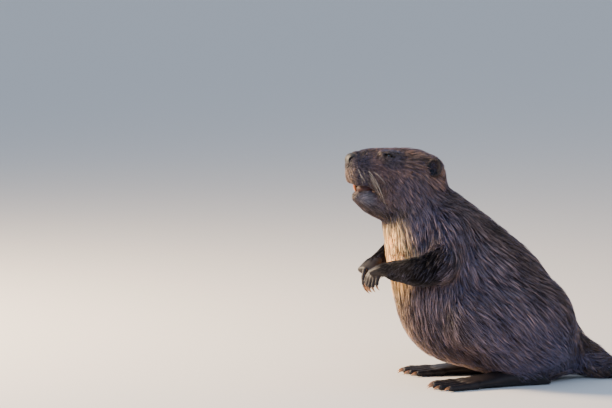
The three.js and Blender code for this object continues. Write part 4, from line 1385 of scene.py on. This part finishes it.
def add_whiskers():
    """Stiff curved hairs in rows on the muzzle, the longer ones pale."""
    shapes, roots, pale = [], [], []
    t = np.linspace(0, 1, WHISKER["rings"])[:, None]
    size = np.repeat(WHISKER["thick"] * (1 - t) ** 0.8 + WHISKER["point"], 2, 1)
    for side in (LEFT, RIGHT):
        for root, way, length in whisker_roots():
            length = length * rng.uniform(0.7, 1.25)
            droop = WHISKER["droop"] * rng.uniform(0.7, 1.2)
            way = unit(way + rng.normal(0, 0.12, 3))
            places = (root + way * length * t + droop * length * t**2) * (1, side, 1)
            shapes.append(tube(places, size, vec(0.1, 0.3, 1), WHISKER["sides"]))
            roots.append(root * (1, side, 1))
            pale.append(rng.random() ** (0.5 if length > WHISKER["pale_from"] else 2.5))
    points, faces = joined(shapes)
    piece = add_piece("whiskers", points, faces, whisker_material(), "coat")
    paint(piece, blend(COAT["whisker_dark"], COAT["whisker"], np.repeat(pale, len(shapes[0][0]))))
    corner = shapes[0][1]
    last = WHISKER["rings"] - 1
    ring, place = np.minimum(corner // WHISKER["sides"], last), corner % WHISKER["sides"]
    on_map = spread(unwrapped(np.array(roots), skull))[:, None, None]
    put_on_map(piece, on_map, np.stack([place / WHISKER["sides"], ring / last], -1))


def whisker_roots():
    """Where the right side's whiskers start, the way each sets off, and its length."""
    roots = []
    for row in range(WHISKER["rows"]):
        for step in range(WHISKER["steps"]):
            x, z = WHISKER["first"] + WHISKER["step"] * step + WHISKER["row"] * row
            way = unit(WHISKER["way"] + WHISKER["way_step"] * step + WHISKER["way_row"] * row)
            roots.append((vec(x, skin_side(x, z), z), way, WHISKER["length"] + WHISKER["longer"] * step))
    return roots


def skin_side(x, z):
    """How far out the skin of the animal's right side is at x and z."""
    out = np.linspace(0, 60, 121)
    inside = skin_distance(np.column_stack([np.full(121, x), out, np.full(121, z)])) < -0.8
    return out[inside].max()


def run_along(points):
    """How far along a line of points each one is."""
    return np.append(0, np.cumsum(np.linalg.norm(np.diff(points, axis=0), axis=1)))


def scale_rows():
    """Places for the tail's scales: rings along the paddle, each evenly spaced round its section."""
    run = run_along(paddle.at)
    turn = np.linspace(0, 2 * math.pi, 181)
    rows = np.arange(SCALE["first"], run[-1] + SCALE["past_end"], SCALE["length"] * SCALE["overlap"])
    for row, along in enumerate(rows):
        here = lambda values: np.array([np.interp(along, run, column) for column in values.T])
        past_end = max(0, along - run[-1])
        size = here(paddle.size) * math.sqrt(max(1e-3, 1 - (past_end / SCALE["rounded"]) ** 2))
        high = np.where(np.sin(turn) > 0, size[1], size[2]) * np.sin(turn)
        edge = here(paddle.at) + here(paddle.along) * past_end
        edge = edge + here(paddle.side) * (size[0] * np.cos(turn))[:, None] + here(paddle.up) * high[:, None]
        gone = run_along(edge)
        count = max(6, round(gone[-1] / SCALE["width"]))
        for at in (np.arange(count) + (row % 2) / 2) * gone[-1] / count:
            yield np.array([np.interp(at, gone, column) for column in edge.T]), unit(here(paddle.along))


def scale_faces():
    """The triangles of one scale: its top, 12, its rim, 0 to 5, its foot, 6 to 11, and its underside."""
    faces = []
    for i in range(6):
        j = (i + 1) % 6
        faces += [(i, j, 12), (i + 6, j + 6, j), (i + 6, j, i)]
    return np.array(faces + [(6, i + 1, i) for i in range(7, 11)])


def add_scales(skin_surface):
    """Overlapping six-sided scales, each a low dome with its hind edge raised, all over the paddle."""
    places, along = (np.array(part) for part in zip(*scale_rows()))
    places, out = skin_surface.lifted(places, np.zeros(len(places)))
    keep = places[:, 2] > SCALE["lowest"]
    places, along, out = places[keep], along[keep], out[keep]
    side = unit(np.cross(along, out))
    along = np.cross(out, side)
    count = len(places)
    grow = rng.uniform(0.86, 1.04, (count, 1, 1))
    ring = [(math.cos(a), math.sin(a)) for a in np.radians(np.arange(0, 360, 60))]
    outline = np.array([(x, SCALE["slim"] * y) for x, y in ring])
    half = vec(SCALE["length"], SCALE["width"]) / 2
    flat = along[:, None] * (outline[:, :1] * half[0]) + side[:, None] * (outline[:, 1:] * half[1] * 1.05)
    rise = SCALE["height"] * (0.5 + SCALE["hind_rise"] * outline[:, 0])
    rim = places[:, None] + flat * grow + out[:, None] * rise[:, None]
    foot = places[:, None] + flat * grow * SCALE["flare"] - out[:, None] * SCALE["buried"]
    top = places + out * SCALE["height"] * SCALE["dome"] + along * half[0] * SCALE["top_back"]
    points = np.concatenate([rim, foot, top[:, None]], 1)
    points[..., 2] = np.maximum(points[..., 2], SCALE["floor"])
    faces = (scale_faces() + np.arange(count)[:, None, None] * points.shape[1]).reshape(-1, 3)
    piece = add_piece("tail_scales", points.reshape(-1, 3), faces, scale_material(), "tail_skin")
    tone = rng.lognormal(0, 0.12, (count, 1, 1))
    shade = np.array([0.75] * 6 + [0.4] * 6 + [1.25])[None, :, None]  # rim, foot and top
    paint(piece, (SKIN["tail"] * tone * shade).reshape(-1, 3))


# ---- Stage ----

PHOTO_WIDTH, MM_PER_PIXEL = 612, 1.75
# A long lens from the animal's left; aim is the frame's centre, across and up from the origin.
CAMERA = dict(azimuth=-12, elevation=5, away=9.0, aim=(-0.3745, 0.30625), sensor=36)
LIGHTS_AIM = (-0.12, 0, 0.22)


def add_light(name, place, size, power, colour):
    light = bpy.data.lights.new(name, "AREA")
    light.size, light.energy, light.color = size, power, colour
    lamp = new_object(name, light)
    lamp.location = place
    lamp.rotation_euler = (Vector(LIGHTS_AIM) - lamp.location).to_track_quat("-Z", "Y").to_euler()


def add_camera():
    turn, tilt = math.radians(CAMERA["azimuth"]), math.radians(CAMERA["elevation"])
    across = Vector((math.cos(turn), math.sin(turn), 0))
    ahead = Vector((-math.sin(turn) * math.cos(tilt), math.cos(turn) * math.cos(tilt), -math.sin(tilt)))
    centre = across * CAMERA["aim"][0] + across.cross(ahead) * CAMERA["aim"][1]
    data = bpy.data.cameras.new("camera")
    data.sensor_width = CAMERA["sensor"]
    data.lens = CAMERA["sensor"] * CAMERA["away"] / (PHOTO_WIDTH * MM_PER_PIXEL * MM)
    camera = new_object("camera", data)
    camera.location = centre - ahead * CAMERA["away"]
    camera.rotation_euler = ahead.to_track_quat("-Z", "Y").to_euler()
    bpy.context.scene.camera = camera


def add_stage():
    """A pale floor, a bluish sky, a warm key light from ahead and a weak blue one from the camera's side."""
    shader = Shader("floor", Base_Color=(0.74, 0.70, 0.66, 1), Roughness=0.8, Specular_IOR_Level=0.2)
    bpy.ops.mesh.primitive_plane_add(size=30)
    floor = bpy.context.active_object
    floor.name = "floor"
    floor.data.materials.append(shader.material)
    floor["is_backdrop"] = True
    world = bpy.data.worlds.new("studio")
    world.use_nodes = True
    sky = world.node_tree.nodes["Background"].inputs
    sky["Color"].default_value, sky["Strength"].default_value = (0.64, 0.78, 1.0, 1), 0.75
    bpy.context.scene.world = world
    add_light("key", place=(-2.6, 1.4, 1.5), size=0.9, power=430, colour=(1.0, 0.76, 0.50))
    add_light("fill", place=(-0.9, -2.8, 1.9), size=1.6, power=56, colour=(0.44, 0.65, 1.0))


skin_surface = Surface(add_skin())
fur = coat_material()
add_coat(skin_surface, fur)
add_ears(fur)
add_eyes()
add_nose()
add_teeth()
add_claws()
add_whiskers()
add_scales(skin_surface)
add_camera()
add_stage()
sizes = {name: [list(map(float, corner)) for corner in box]
         for name, box in (("cad", CAD_BOX), ("visual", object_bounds()))}
